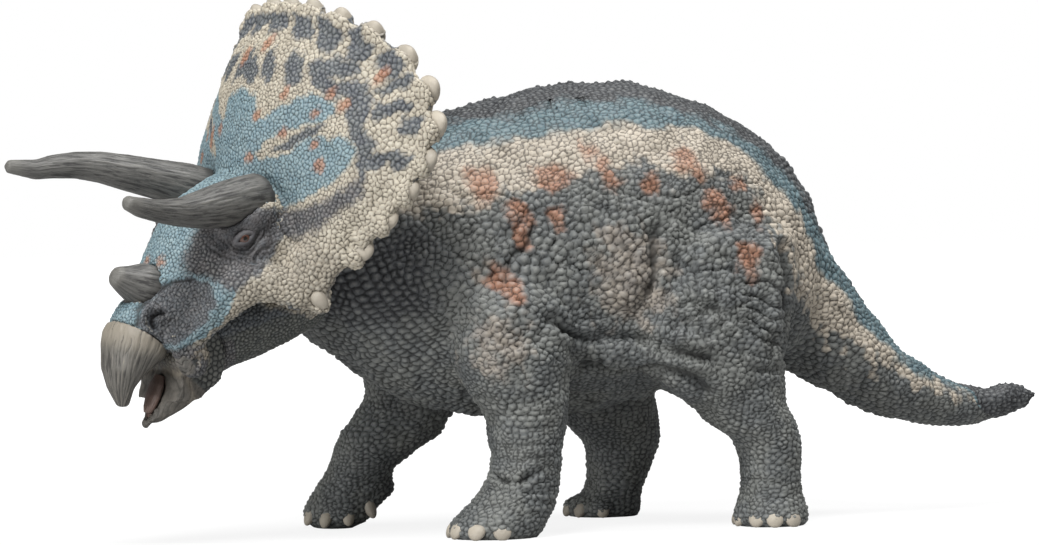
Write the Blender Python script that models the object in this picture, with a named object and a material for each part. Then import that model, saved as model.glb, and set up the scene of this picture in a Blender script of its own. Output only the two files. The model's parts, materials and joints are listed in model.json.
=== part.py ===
"""Toy figure of a walking three-horned dinosaur, built from separate moulded pieces.

The frame has Z up and the ground at zero. The animal looks towards -X, its left side is towards -Y.
Head pieces are laid out in a frame of their own: X forwards, Y to the animal's left, Z up.
"""
import bmesh
import bpy
import math
from mathutils import Matrix, Vector

for old_object in list(bpy.data.objects):
    bpy.data.objects.remove(old_object, do_unlink=True)

# Fits shared by all pieces
FIT_GAP = 0.0003          # glued or resting faces
PIN_GAP = 0.00012         # hinge pin in its bores

# Trunk and tail
TORSO_FRONT_X = -0.060    # where the neck meets the skull
TORSO_LENGTH = 0.132      # neck end to tail root
BACK_HEIGHT = 0.104       # top of the back over the ground
TORSO_WIDTH = 0.060
TAIL_LENGTH = 0.062       # tail root to tip
TAIL_ROOT_WIDTH = 0.031
TAIL_PEG_LENGTH = 0.008
TAIL_PEG_WIDTH = 0.011

# Legs: how far apart they stand, how high they reach into the trunk, and how stout they are
TRACK_WIDTH = 0.052
FORE_LEG_HEIGHT = 0.062
FORE_LEG_DEPTH = 0.028
FORE_LEG_WIDTH = 0.020
HIND_LEG_HEIGHT = 0.080
HIND_LEG_DEPTH = 0.044
HIND_LEG_WIDTH = 0.025
FRONT_LEFT_FOOT_SHARE = 0.324    # where the feet stand, as shares of the trunk's length from the neck
FRONT_RIGHT_FOOT_SHARE = 0.176
HIND_LEFT_FOOT_SHARE = 0.851
HIND_RIGHT_FOOT_SHARE = 0.684
LEG_PEG_RADIUS = 0.004
LEG_PEG_DEPTH = 0.005
NAIL_WIDTH = 0.0034
NAIL_HEIGHT = 0.0039
NAIL_REACH = 0.0013                # out from the foot
ROLL_RADIUS = 0.0023               # roll of loose skin along each flank, elbow to knee

# Head: pose, and the sizes of the skull, throat and frill
HEAD_ORIGIN_X = -0.036
HEAD_ORIGIN_HEIGHT = 0.069
HEAD_YAW = math.radians(14)      # turned to its left
HEAD_PITCH = math.radians(25)    # nose down
HEAD_ROLL = math.radians(-3)     # leaning to its left
SKULL_LENGTH = 0.072             # head origin to the beak seam
SKULL_HEIGHT = 0.031
SKULL_WIDTH = 0.040
FRILL_HEIGHT = 0.058
FRILL_WIDTH = 0.086
FRILL_THICKNESS = 0.0030
KNOB_LENGTH = 0.0062              # along the rim
KNOB_THICKNESS = 0.0044
KNOB_REACH = 0.0031              # out from the rim
NECK_PEG_LENGTH = 0.009
NECK_PEG_WIDTH = 0.013

# Beak, horns and eyes
BEAK_LENGTH = 0.017              # corner of the mouth to the front of the beak
BEAK_WIDTH = 0.0176
BEAK_PEG_LENGTH = 0.004
BEAK_PEG_WIDTH = 0.007
NOSE_HORN_LENGTH = 0.0086
NOSE_HORN_RADIUS = 0.0052
BROW_HORN_LENGTH = 0.040
BROW_HORN_RADIUS = 0.0052
EYE_RADIUS = 0.0017

# Jaw and its hinge
HINGE_FORWARD = 0.0615
HINGE_UP = 0.0004
JAW_LENGTH = 0.0175
JAW_WIDTH = 0.0180
JAW_HEEL_RADIUS = 0.0095
JAW_CLOSING = math.radians(20)
JAW_PLAY = math.radians(3)       # free angle beyond each end of the travel
HEEL_START = math.radians(138)   # the heel's arc runs from under the cheek down and round to the mouth
PIN_RADIUS = 0.0012
KNUCKLE_RADIUS = 0.0030
BOSS_RADIUS = 0.0036
BOSS_THICKNESS = 0.0026
BOSS_HEIGHT = 0.0083             # from the hinge up into the cheek
TONGUE_LENGTH = 0.009
TONGUE_WIDTH = 0.0052
TONGUE_THICKNESS = 0.0022
TONGUE_SLOPE = math.radians(-44)

# Pegs and tips shared by several pieces
PEG_FLAT_SHARE = 0.6             # the leg pegs are cut flat on top here, as a key
PEG_ROOT_SHARE = 0.4             # how much of a peg's length stands inside its own piece
TIP_SHARE = 0.02                 # how much a blunt end stands out, of the piece's length
HORN_TIP_SHARE = 0.18            # the same for horns, of the base radius

# Facets
TORSO_SIDES = 28
LIMB_SIDES = 16
TAIL_SIDES = 18
SKULL_SIDES = 24
SMALL_SIDES = 16
HORN_SIDES = 14

# Tables of shares. Sagittal rows: top or front point (x, z), bottom or back point (x, z), half width
TORSO_SHARES = (
    (-0.07, 0.835, -0.035, 0.550, 0.42), (-0.02, 0.860, 0.015, 0.495, 0.51),
    (0.05, 0.875, 0.065, 0.448, 0.59), (0.16, 0.895, 0.155, 0.362, 0.73),
    (0.28, 0.925, 0.255, 0.293, 0.87), (0.39, 0.963, 0.360, 0.264, 0.95),
    (0.49, 0.994, 0.465, 0.256, 0.98), (0.58, 1.004, 0.560, 0.258, 1.00),
    (0.68, 0.998, 0.665, 0.285, 0.99), (0.77, 0.966, 0.750, 0.325, 0.94),
    (0.86, 0.914, 0.830, 0.352, 0.85), (0.938, 0.846, 0.890, 0.362, 0.73),
    (1.003, 0.728, 0.940, 0.358, 0.57),
)
TAIL_SHARES = (
    (-0.010, 0.738, -0.150, 0.360, 1.00), (0.067, 0.634, -0.045, 0.330, 0.90),
    (0.160, 0.544, 0.080, 0.293, 0.78), (0.258, 0.465, 0.190, 0.262, 0.67),
    (0.370, 0.391, 0.312, 0.231, 0.56), (0.500, 0.330, 0.460, 0.208, 0.45),
    (0.630, 0.292, 0.615, 0.195, 0.36), (0.745, 0.276, 0.745, 0.200, 0.28),
    (0.870, 0.280, 0.870, 0.219, 0.22), (0.965, 0.275, 0.965, 0.240, 0.13),
)
# Limb rows: front (x, z), back (x, z), distance from the middle, half width
FRONT_LEFT_SHARES = (
    (0.00, 1.04, 0.50, 1.06, 0.62, 0.50), (-0.22, 0.88, 0.62, 0.86, 0.90, 1.02),
    (-0.30, 0.70, 0.70, 0.67, 0.94, 1.10), (-0.18, 0.57, 0.66, 0.55, 0.97, 0.97),
    (-0.01, 0.465, 0.64, 0.455, 1.00, 0.86), (0.01, 0.32, 0.59, 0.31, 1.02, 0.80),
    (0.01, 0.23, 0.56, 0.22, 1.02, 0.76), (-0.13, 0.14, 0.52, 0.125, 1.03, 0.85),
    (-0.26, 0.085, 0.45, 0.072, 1.03, 0.92), (-0.35, 0.035, 0.40, 0.030, 1.03, 0.94),
    (-0.33, 0.0, 0.36, 0.0, 1.03, 0.86),
)
FRONT_RIGHT_SHARES = (
    (0.32, 0.98, 1.02, 1.02, 0.62, 0.50), (0.22, 0.82, 1.12, 0.82, 0.88, 1.02),
    (0.22, 0.65, 1.08, 0.66, 0.91, 1.08), (0.26, 0.51, 1.03, 0.50, 0.93, 0.95),
    (0.19, 0.44, 0.97, 0.43, 0.94, 0.88), (0.06, 0.37, 0.85, 0.355, 0.95, 0.84),
    (-0.04, 0.30, 0.60, 0.28, 0.96, 0.78), (-0.09, 0.22, 0.40, 0.21, 0.97, 0.70),
    (-0.18, 0.165, 0.47, 0.145, 0.98, 0.76), (-0.24, 0.11, 0.33, 0.10, 0.99, 0.82),
    (-0.29, 0.06, 0.25, 0.05, 1.00, 0.82), (-0.23, 0.0, 0.07, 0.0, 1.00, 0.62),
)
HIND_LEFT_SHARES = (
    (-0.42, 1.00, 0.16, 0.97, 0.50, 0.50), (-0.66, 0.85, 0.21, 0.82, 0.72, 1.00),
    (-0.78, 0.69, 0.19, 0.66, 0.80, 1.06), (-0.80, 0.555, 0.15, 0.53, 0.85, 1.02),
    (-0.71, 0.475, 0.09, 0.46, 0.90, 0.94), (-0.59, 0.42, 0.075, 0.405, 0.94, 0.85),
    (-0.43, 0.36, 0.08, 0.348, 0.96, 0.76), (-0.32, 0.305, 0.135, 0.30, 0.98, 0.68),
    (-0.19, 0.255, 0.15, 0.25, 1.00, 0.62), (-0.15, 0.188, 0.145, 0.182, 1.00, 0.58),
    (-0.15, 0.112, 0.145, 0.106, 1.00, 0.58), (-0.17, 0.062, 0.175, 0.054, 1.00, 0.64),
    (-0.185, 0.030, 0.19, 0.025, 1.00, 0.67), (-0.175, 0.0, 0.17, 0.0, 1.00, 0.62),
)
HIND_RIGHT_SHARES = (
    (-0.28, 0.98, 0.42, 0.98, 0.50, 0.50), (-0.42, 0.82, 0.50, 0.82, 0.72, 1.00),
    (-0.46, 0.66, 0.44, 0.66, 0.80, 1.04), (-0.42, 0.525, 0.35, 0.525, 0.85, 0.96),
    (-0.32, 0.425, 0.27, 0.41, 0.92, 0.84), (-0.25, 0.34, 0.28, 0.33, 0.96, 0.74),
    (-0.19, 0.28, 0.31, 0.26, 0.98, 0.68), (-0.09, 0.225, 0.31, 0.218, 1.00, 0.61),
    (-0.08, 0.15, 0.245, 0.14, 1.00, 0.58), (-0.09, 0.075, 0.185, 0.07, 1.00, 0.60),
    (-0.20, 0.032, 0.19, 0.028, 1.00, 0.66), (-0.18, 0.0, 0.18, 0.0, 1.00, 0.62),
)
# Where the nails stand round each foot, in degrees from straight ahead towards its outer side
NAIL_TURNS = {
    "front_left_leg": (-68, -26, 11, 45, 79), "front_right_leg": (-121, -83, -45, -7, 36),
    "hind_left_leg": (-41, 2, 43, 72, 102), "hind_right_leg": (-66, -26, 11, 47),
}
NAIL_CLEARANCE = 1.03              # lowest middle of a nail, in half heights
# Rolls of skin: along the trunk, outward and up, as shares of its length, half width and height
ROLL_LEFT_SHARES = (
    (0.457, -0.873, 0.452, 0.55), (0.518, -0.867, 0.418, 0.90), (0.571, -0.890, 0.404, 1.00),
    (0.624, -0.973, 0.389, 0.80),
)
ROLL_RIGHT_SHARES = (
    (0.381, 0.873, 0.452, 0.55), (0.442, 0.867, 0.418, 0.90), (0.503, 0.890, 0.404, 1.00),
    (0.563, 0.960, 0.389, 0.80),
)
# Head rows: shares of the skull's length and height, half widths as shares of its half width
SKULL_SHARES = (
    (0.195, 0.97, 0.330, 0.10, 0.92), (0.320, 1.00, 0.400, 0.06, 1.00),
    (0.450, 1.02, 0.480, 0.10, 1.02), (0.560, 1.00, 0.560, 0.17, 0.94),
    (0.660, 0.91, 0.640, 0.20, 0.82), (0.735, 0.79, 0.710, 0.20, 0.71),
    (0.805, 0.665, 0.760, 0.18, 0.62), (0.870, 0.58, 0.810, 0.13, 0.55),
    (0.930, 0.52, 0.850, 0.10, 0.48), (0.975, 0.46, 0.880, 0.085, 0.43),
)
THROAT_SHARES = (
    (0.305, 0.26, 0.390, -0.29, 0.82), (0.400, 0.26, 0.490, -0.30, 0.76),
    (0.520, 0.28, 0.600, -0.29, 0.66), (0.620, 0.28, 0.690, -0.26, 0.56),
    (0.730, 0.26, 0.770, -0.27, 0.47), (0.800, 0.10, 0.810, -0.15, 0.40),
)
# Rim of the frill and cheek: forward, outward and up, as shares of the skull and frill sizes
RIM_SHARES = (
    (0.825, 0.28, 0.07), (0.745, 0.39, 0.125), (0.690, 0.46, 0.155), (0.640, 0.51, 0.165),
    (0.590, 0.57, 0.140), (0.550, 0.62, 0.085), (0.490, 0.645, 0.055), (0.425, 0.69, 0.140),
    (0.350, 0.750, 0.185), (0.263, 0.855, 0.268), (0.180, 0.942, 0.345), (0.103, 0.997, 0.424),
    (0.027, 1.012, 0.531), (-0.025, 0.932, 0.650), (-0.058, 0.778, 0.773), (-0.045, 0.59, 0.882),
    (-0.018, 0.405, 0.950), (-0.010, 0.19, 0.990), (-0.003, 0.0, 1.000),
)
ROOT_SHARES = (
    (0.760, 0.16, 0.230), (0.700, 0.22, 0.270), (0.650, 0.27, 0.290), (0.600, 0.30, 0.290),
    (0.560, 0.33, 0.260), (0.530, 0.35, 0.220), (0.490, 0.37, 0.230), (0.460, 0.37, 0.260),
    (0.430, 0.36, 0.290), (0.410, 0.35, 0.340), (0.395, 0.32, 0.390), (0.385, 0.29, 0.430),
    (0.385, 0.26, 0.460), (0.390, 0.21, 0.480), (0.400, 0.17, 0.495), (0.410, 0.13, 0.505),
    (0.415, 0.09, 0.510), (0.420, 0.05, 0.515), (0.420, 0.0, 0.515),
)
FIRST_KNOB_ROW = 8               # rim rows from here to the middle carry a knob, and so does the cheek tip
CHEEK_TIP_ROW = 6
FRILL_BULGE_SHARE = 0.046
FRILL_STEPS = 4
FRILL_ROOT_SHARE = 1.15          # thickness at the skull and its loss out to the rim
FRILL_THINNING_SHARE = 0.30
CHEEK_KNOB_SHARE = 0.75
KNOB_SETBACK_SHARE = 0.4         # knobs sit this far behind the frill's front, of its thickness
# Beak rows beyond the seam: front (x, z), back (x, z) from the mouth corner, shares of the beak length
BEAK_SHARES = (
    (0.54, 0.61, 0.08, -0.060, 0.97), (0.65, 0.47, 0.18, -0.09, 0.88), (0.80, 0.18, 0.42, -0.13, 0.68),
    (0.86, -0.10, 0.60, -0.22, 0.44), (0.855, -0.37, 0.735, -0.41, 0.19),
)
BROW_HORN_LEFT_SHARES = (
    (0.00, 0.00, 0.00, 1.08), (0.13, 0.04, 0.045, 1.06), (0.26, 0.075, 0.085, 1.00),
    (0.425, 0.125, 0.14, 0.85), (0.59, 0.175, 0.205, 0.63), (0.74, 0.225, 0.29, 0.49),
    (0.87, 0.275, 0.38, 0.42), (0.95, 0.305, 0.45, 0.30),
)
BROW_HORN_RIGHT_SHARES = (
    (0.00, 0.00, 0.00, 1.08), (0.095, 0.035, 0.085, 1.04), (0.21, 0.06, 0.18, 0.90),
    (0.38, 0.11, 0.31, 0.79), (0.49, 0.16, 0.395, 0.69), (0.61, 0.21, 0.465, 0.59),
    (0.74, 0.25, 0.515, 0.50), (0.82, 0.275, 0.535, 0.44), (0.955, 0.32, 0.62, 0.29),
)
BROW_HORN_BASE_SHARES = (0.430, 0.55, 0.855)
NOSE_HORN_BASE_SHARES = (0.815, 0.0, 0.52)
NOSE_HORN_SHARES = ((0.0, 0.0, 1.05), (0.35, 0.33, 0.98), (0.68, 0.62, 0.66), (0.92, 0.88, 0.42))
BROW_BOSS_SHARES = (0.500, 0.60, 0.76)
BROW_BOSS_RADII_SHARES = (0.125, 0.35, 0.20)
EYE_SHARES = (0.580, 0.865, 0.70)
PALATE_SHARES = (0.12, -0.06)    # middle of the mouth's hollow, ahead of and below the mouth corner
PALATE_RADII_SHARES = (0.42, 0.30, 0.17)
# Jaw rows measured from the hinge: upper edge (x, z), lower edge (x, z), half width share
JAW_SHARES = (
    (-0.05, 0.02, -0.36, -0.40, 0.94), (0.19, -0.13, -0.16, -0.60, 0.90),
    (0.38, -0.27, 0.04, -0.72, 0.76), (0.53, -0.39, 0.26, -0.78, 0.56),
    (0.65, -0.52, 0.49, -0.80, 0.36), (0.715, -0.62, 0.665, -0.735, 0.18),
)
TONGUE_ROOT_SHARES = (0.22, -0.16)
# Tongue rows: distance along it, half width, half thickness
TONGUE_SHARES = (
    (0.00, 0.55, 0.49), (0.25, 0.95, 0.59), (0.55, 1.00, 0.60), (0.85, 0.72, 0.53), (1.00, 0.35, 0.44),
)


def link(name, mesh, colour, roughness, parent=None, place=(0, 0, 0)):
    """Put a mesh in the scene under a parent, with a material of its own."""
    item = bpy.data.objects.new(name, mesh)
    bpy.context.scene.collection.objects.link(item)
    item.parent = parent
    item.location = place
    mesh.shade_smooth()
    mesh.set_sharp_from_angle(angle=math.radians(40))
    material = bpy.data.materials.new(name)
    material.use_nodes = True
    shader = material.node_tree.nodes["Principled BSDF"]
    shader.inputs["Base Color"].default_value = (*colour, 1)
    shader.inputs["Roughness"].default_value = roughness
    shader.inputs["Metallic"].default_value = 0
    mesh.materials.append(material)
    return item


def tool(name, mesh, parent=None, place=(0, 0, 0)):
    """A cutter or a body to be joined: it never shows."""
    item = bpy.data.objects.new(name, mesh)
    bpy.context.scene.collection.objects.link(item)
    item.parent = parent
    item.location = place
    item.hide_render = True
    item.display_type = "WIRE"
    return item


def combine(item, other, operation):
    """Union or difference with another object."""
    step = item.modifiers.new(other.name, "BOOLEAN")
    step.operation = operation
    step.solver = "EXACT"
    step.object = other


def finish_mesh(name, work):
    """Turn a bmesh into a mesh whose faces point outwards."""
    bmesh.ops.recalc_face_normals(work, faces=work.faces)
    mesh = bpy.data.meshes.new(name)
    work.to_mesh(mesh)
    work.free()
    return mesh


def rounded(value, power):
    """Sine or cosine raised to a power with its sign kept: below one it squares the section."""
    return math.copysign(abs(value) ** power, value)


def sweep(name, rows, sides, grow=0.0, power=1.0, pear=0.0, tip=0.0):
    """Closed tube. Each row is front point, back point (as vectors) and half width along Y.

    grow swells the tube for a cutter, pear makes the back side wider than the front, tip adds a point.
    """
    work = bmesh.new()
    middles = [(front + back) / 2 for front, back, half in rows]
    rings = []
    for index, (front, back, half) in enumerate(rows):
        reach = (front - back) / 2
        reach = reach * (1 + grow / reach.length)
        middle = middles[index].copy()
        if index == 0:
            middle += (middles[0] - middles[1]).normalized() * grow
        if index == len(rows) - 1:
            middle += (middles[-1] - middles[-2]).normalized() * grow
        ring = []
        for step in range(sides):
            angle = 2 * math.pi * step / sides
            along = rounded(math.cos(angle), power)
            across = rounded(math.sin(angle), power) * (1 - pear * along)
            ring.append(work.verts.new(middle + reach * along + Vector((0, (half + grow) * across, 0))))
        rings.append(ring)
    for lower, upper in zip(rings, rings[1:]):
        for step in range(sides):
            after = (step + 1) % sides
            work.faces.new((lower[step], lower[after], upper[after], upper[step]))
    work.faces.new(rings[0])
    if tip:
        direction = (middles[-1] - middles[-2]).normalized()
        point = work.verts.new(middles[-1] + direction * (tip + grow))
        for step in range(sides):
            work.faces.new((rings[-1][step], rings[-1][(step + 1) % sides], point))
    else:
        work.faces.new(rings[-1])
    return finish_mesh(name, work)


def prism(name, outline, low_y, high_y):
    """Extrude an outline of (x, z) points along Y."""
    work = bmesh.new()
    near = [work.verts.new((x, low_y, z)) for x, z in outline]
    far = [work.verts.new((x, high_y, z)) for x, z in outline]
    work.faces.new(near)
    work.faces.new(far)
    count = len(outline)
    for step in range(count):
        after = (step + 1) % count
        work.faces.new((near[step], near[after], far[after], far[step]))
    return finish_mesh(name, work)


def arc(centre_x, centre_z, radius, start, end, steps):
    """Points along an arc in the XZ plane, both ends included."""
    points = []
    for step in range(steps + 1):
        angle = start + (end - start) * step / steps
        points.append((centre_x + radius * math.cos(angle), centre_z + radius * math.sin(angle)))
    return points


def circle(centre_x, centre_z, radius, sides, flat=0.0):
    """A circle's points; flat cuts its top off at that share of the radius, as on a keyed peg."""
    points = []
    for step in range(sides):
        angle = 2 * math.pi * step / sides
        rise = radius * math.sin(angle)
        if flat:
            rise = min(rise, radius * flat)
        points.append((centre_x + radius * math.cos(angle), centre_z + rise))
    return points


def ellipsoid(work, centre, radii, rings=6, sides=8, turn=Matrix.Identity(3)):
    """Add a closed ellipsoid to a bmesh."""
    scale = Matrix.Diagonal((*radii, 1))
    place = Matrix.Translation(centre) @ turn.to_4x4() @ scale
    bmesh.ops.create_uvsphere(work, u_segments=sides, v_segments=rings, radius=1, matrix=place)


# The figure stands under one empty, which centres it over the origin at the end
figure = bpy.data.objects.new("figure", None)
bpy.context.scene.collection.objects.link(figure)


def head_pose():
    """Matrix of the head frame: its X forwards, Y to the animal's left, Z up through the crown."""
    heading = Vector((-math.cos(HEAD_YAW), -math.sin(HEAD_YAW), 0))
    left = Vector((math.sin(HEAD_YAW), -math.cos(HEAD_YAW), 0))
    above = Vector((0, 0, 1))
    forward = heading * math.cos(HEAD_PITCH) - above * math.sin(HEAD_PITCH)
    crown = heading * math.sin(HEAD_PITCH) + above * math.cos(HEAD_PITCH)
    side = left * math.cos(HEAD_ROLL) + crown * math.sin(HEAD_ROLL)
    crown = crown * math.cos(HEAD_ROLL) - left * math.sin(HEAD_ROLL)
    pose = Matrix((forward, side, crown)).transposed().to_4x4()
    return Matrix.Translation((HEAD_ORIGIN_X, 0, HEAD_ORIGIN_HEIGHT)) @ pose


head_frame = bpy.data.objects.new("head_frame", None)
bpy.context.scene.collection.objects.link(head_frame)
head_frame.parent = figure
head_frame.matrix_local = head_pose()


def sagittal_rows(shares, length, height, half_width, start_x=0.0, start_z=0.0):
    """Turn rows of shares into points and half widths."""
    rows = []
    for front_x, front_z, back_x, back_z, width in shares:
        front = Vector((start_x + front_x * length, 0, start_z + front_z * height))
        back = Vector((start_x + back_x * length, 0, start_z + back_z * height))
        rows.append((front, back, width * half_width))
    return rows


def limb_rows(shares, foot_share, depth, height, width, side):
    """Turn a limb's rows of shares into points and half widths; side is -1 for the animal's left."""
    foot_x = TORSO_FRONT_X + foot_share * TORSO_LENGTH
    rows = []
    for front_x, front_z, back_x, back_z, out, half in shares:
        out_y = side * out * TRACK_WIDTH / 2
        front = Vector((foot_x + front_x * depth, out_y, front_z * height))
        back = Vector((foot_x + back_x * depth, out_y, back_z * height))
        rows.append((front, back, half * width / 2))
    return rows


FORE_LEG_SIZE = (FORE_LEG_DEPTH, FORE_LEG_HEIGHT, FORE_LEG_WIDTH)
HIND_LEG_SIZE = (HIND_LEG_DEPTH, HIND_LEG_HEIGHT, HIND_LEG_WIDTH)
LIMBS = {
    "front_left_leg": (FRONT_LEFT_SHARES, FRONT_LEFT_FOOT_SHARE, *FORE_LEG_SIZE, -1),
    "front_right_leg": (FRONT_RIGHT_SHARES, FRONT_RIGHT_FOOT_SHARE, *FORE_LEG_SIZE, 1),
    "hind_left_leg": (HIND_LEFT_SHARES, HIND_LEFT_FOOT_SHARE, *HIND_LEG_SIZE, -1),
    "hind_right_leg": (HIND_RIGHT_SHARES, HIND_RIGHT_FOOT_SHARE, *HIND_LEG_SIZE, 1),
}
PEG_ROW = 1               # the limb row that the peg stands on


def leg_peg(name, rows, side, grow):
    """Keyed peg on the inner side of a leg, or its socket when grown."""
    front, back, half = rows[PEG_ROW]
    middle = (front + back) / 2
    outline = circle(middle.x, middle.z, LEG_PEG_RADIUS + grow, SMALL_SIDES, flat=PEG_FLAT_SHARE)
    inner = middle.y - side * (half + LEG_PEG_DEPTH + grow)
    return prism(name, outline, min(inner, middle.y), max(inner, middle.y))


def nail_mesh(leg_name, rows, side):
    """The blunt nails of one foot, moulded with the leg and clear of the ground."""
    work = bmesh.new()
    front, back, half = rows[-2]          # the row just above the sole
    middle = (front + back) / 2
    depth = (back - front).x / 2
    height = max(middle.z, NAIL_HEIGHT / 2 * NAIL_CLEARANCE)
    for turn in NAIL_TURNS[leg_name]:
        angle = math.radians(turn)
        centre = Vector((middle.x - depth * math.cos(angle), middle.y + side * half * math.sin(angle), height))
        facing = Matrix.Rotation(-side * angle, 3, "Z")
        ellipsoid(work, centre, (NAIL_REACH, NAIL_WIDTH / 2, NAIL_HEIGHT / 2), turn=facing)
    return finish_mesh("nails_" + leg_name, work)


def make_leg(name):
    """One leg with its shoulder or haunch, its nails and keyed peg, and the cutters for its seat."""
    rows = limb_rows(*LIMBS[name])
    side = LIMBS[name][-1]
    leg = link(name, sweep(name, rows, LIMB_SIDES, power=0.9), (0.065, 0.072, 0.080), 0.6, figure)
    combine(leg, tool("join_nails_" + name, nail_mesh(name, rows, side), figure), "UNION")
    combine(leg, tool("join_peg_" + name, leg_peg("peg_" + name, rows, side, 0.0), figure), "UNION")
    seat = tool("cut_seat_" + name, sweep("seat_" + name, rows, LIMB_SIDES, grow=FIT_GAP, power=0.9), figure)
    socket = tool("cut_socket_" + name, leg_peg("socket_" + name, rows, side, FIT_GAP), figure)
    return leg, [seat, socket]


def tail_mesh(grow):
    rows = sagittal_rows(TAIL_SHARES, TAIL_LENGTH, BACK_HEIGHT, TAIL_ROOT_WIDTH / 2,
                         start_x=TORSO_FRONT_X + TORSO_LENGTH)
    return sweep("tail", rows, TAIL_SIDES, grow=grow, tip=TAIL_LENGTH * TIP_SHARE)


def peg_rows(centre, direction, length, width, grow):
    """Rows of a rounded square peg from inside its own piece out along a direction in the XZ plane."""
    across = Vector((-direction.z, 0, direction.x)) * (width / 2 + grow)
    start = centre - direction * length * PEG_ROOT_SHARE
    end = centre + direction * (length + grow)
    return [(start + across, start - across, width / 2 + grow), (end + across, end - across, width / 2 + grow)]


def row_centre_and_normal(rows, index, other):
    """Middle of one row, and the direction square to it that points away from another row."""
    front, back, half = rows[index]
    middle = (front + back) / 2
    line = (front - back).normalized()
    normal = Vector((-line.z, 0, line.x))
    toward = (rows[other][0] + rows[other][1]) / 2 - middle
    if normal.dot(toward) > 0:
        normal = -normal
    return middle, normal


def tail_peg(grow):
    rows = sagittal_rows(TAIL_SHARES, TAIL_LENGTH, BACK_HEIGHT, TAIL_ROOT_WIDTH / 2,
                         start_x=TORSO_FRONT_X + TORSO_LENGTH)
    middle, outward = row_centre_and_normal(rows, 0, 1)
    return sweep("tail_peg", peg_rows(middle, outward, TAIL_PEG_LENGTH, TAIL_PEG_WIDTH, grow),
                 SMALL_SIDES, power=0.5)


def make_tail(thigh_cutters):
    """The tail with its keyed peg, cut clear of the thighs, and the cutters for its seat in the rump."""
    tail = link("tail", tail_mesh(0.0), (0.36, 0.33, 0.28), 0.6, figure)
    combine(tail, tool("join_tail_peg", tail_peg(0.0), figure), "UNION")
    for cutter in thigh_cutters:
        combine(tail, cutter, "DIFFERENCE")
    seat = tool("cut_tail_seat", tail_mesh(FIT_GAP), figure)
    return tail, [seat, tool("cut_tail_socket", tail_peg(FIT_GAP), figure)]


def skull_mesh(grow):
    rows = sagittal_rows(SKULL_SHARES, SKULL_LENGTH, SKULL_HEIGHT, SKULL_WIDTH / 2)
    return sweep("skull", rows, SKULL_SIDES, grow=grow, power=0.92, pear=0.26)


def throat_mesh(grow):
    rows = sagittal_rows(THROAT_SHARES, SKULL_LENGTH, SKULL_HEIGHT, SKULL_WIDTH / 2)
    return sweep("throat", rows, SKULL_SIDES, grow=grow)


def neck_peg(grow):
    rows = sagittal_rows(SKULL_SHARES, SKULL_LENGTH, SKULL_HEIGHT, SKULL_WIDTH / 2)
    middle, outward = row_centre_and_normal(rows, 0, 1)
    return sweep("neck_peg", peg_rows(middle, outward, NECK_PEG_LENGTH, NECK_PEG_WIDTH, grow),
                 SMALL_SIDES, power=0.5)


def frill_point(share):
    """A share of the head's sizes as a point: forward, out to the left, up."""
    return Vector((share[0] * SKULL_LENGTH, share[1] * FRILL_WIDTH / 2, share[2] * FRILL_HEIGHT))


def frill_columns():
    """Columns of points from the skull out to the rim, from the left mouth corner over to the right one."""
    columns = []
    for root_share, rim_share in zip(ROOT_SHARES, RIM_SHARES):
        root = frill_point(root_share)
        rim = frill_point(rim_share)
        columns.append((root, rim))
    mirrored = [(mirror_y(root), mirror_y(rim)) for root, rim in columns[-2::-1]]
    return columns + mirrored


def mirror_y(point):
    return Vector((point.x, -point.y, point.z))


def frill_mesh(grow):
    """The frill and cheek flanges: a bowed sheet with a front, a back and a rim."""
    columns = frill_columns()
    grid = []
    for root, rim in columns:
        grid.append([root.lerp(rim, step / FRILL_STEPS) for step in range(FRILL_STEPS + 1)])
    front, back = [], []
    for index, column in enumerate(grid):
        before = grid[max(index - 1, 0)]
        after = grid[min(index + 1, len(grid) - 1)]
        front_line, back_line = [], []
        for step, point in enumerate(column):
            along = after[step] - before[step]
            outward = column[min(step + 1, FRILL_STEPS)] - column[max(step - 1, 0)]
            normal = outward.cross(along).normalized()
            share = step / FRILL_STEPS
            bow = normal * (4 * share * (1 - share) * FRILL_BULGE_SHARE * FRILL_WIDTH)
            reach = outward.normalized() * (grow if step == FRILL_STEPS else 0)
            front_line.append(point + bow + reach + normal * grow)
            thickness = FRILL_THICKNESS * (FRILL_ROOT_SHARE - FRILL_THINNING_SHARE * share)
            back_line.append(point + bow + reach - normal * (thickness + grow))
        front.append(front_line)
        back.append(back_line)
    return sheet_mesh("frill", front, back)


def sheet_mesh(name, front, back):
    """Close a front and a back grid of points into one solid."""
    work = bmesh.new()
    front = [[work.verts.new(point) for point in line] for line in front]
    back = [[work.verts.new(point) for point in line] for line in back]
    last = len(front[0]) - 1
    for side in (front, back):
        for line, next_line in zip(side, side[1:]):
            for step in range(last):
                work.faces.new((line[step], line[step + 1], next_line[step + 1], next_line[step]))
    for index in range(len(front) - 1):
        near, far = front[index], back[index]
        next_near, next_far = front[index + 1], back[index + 1]
        for step in (0, last):
            work.faces.new((near[step], far[step], next_far[step], next_near[step]))
    for near, far in ((front[0], back[0]), (front[-1], back[-1])):
        for step in range(last):
            work.faces.new((near[step], far[step], far[step + 1], near[step + 1]))
    return finish_mesh(name, work)


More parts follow.
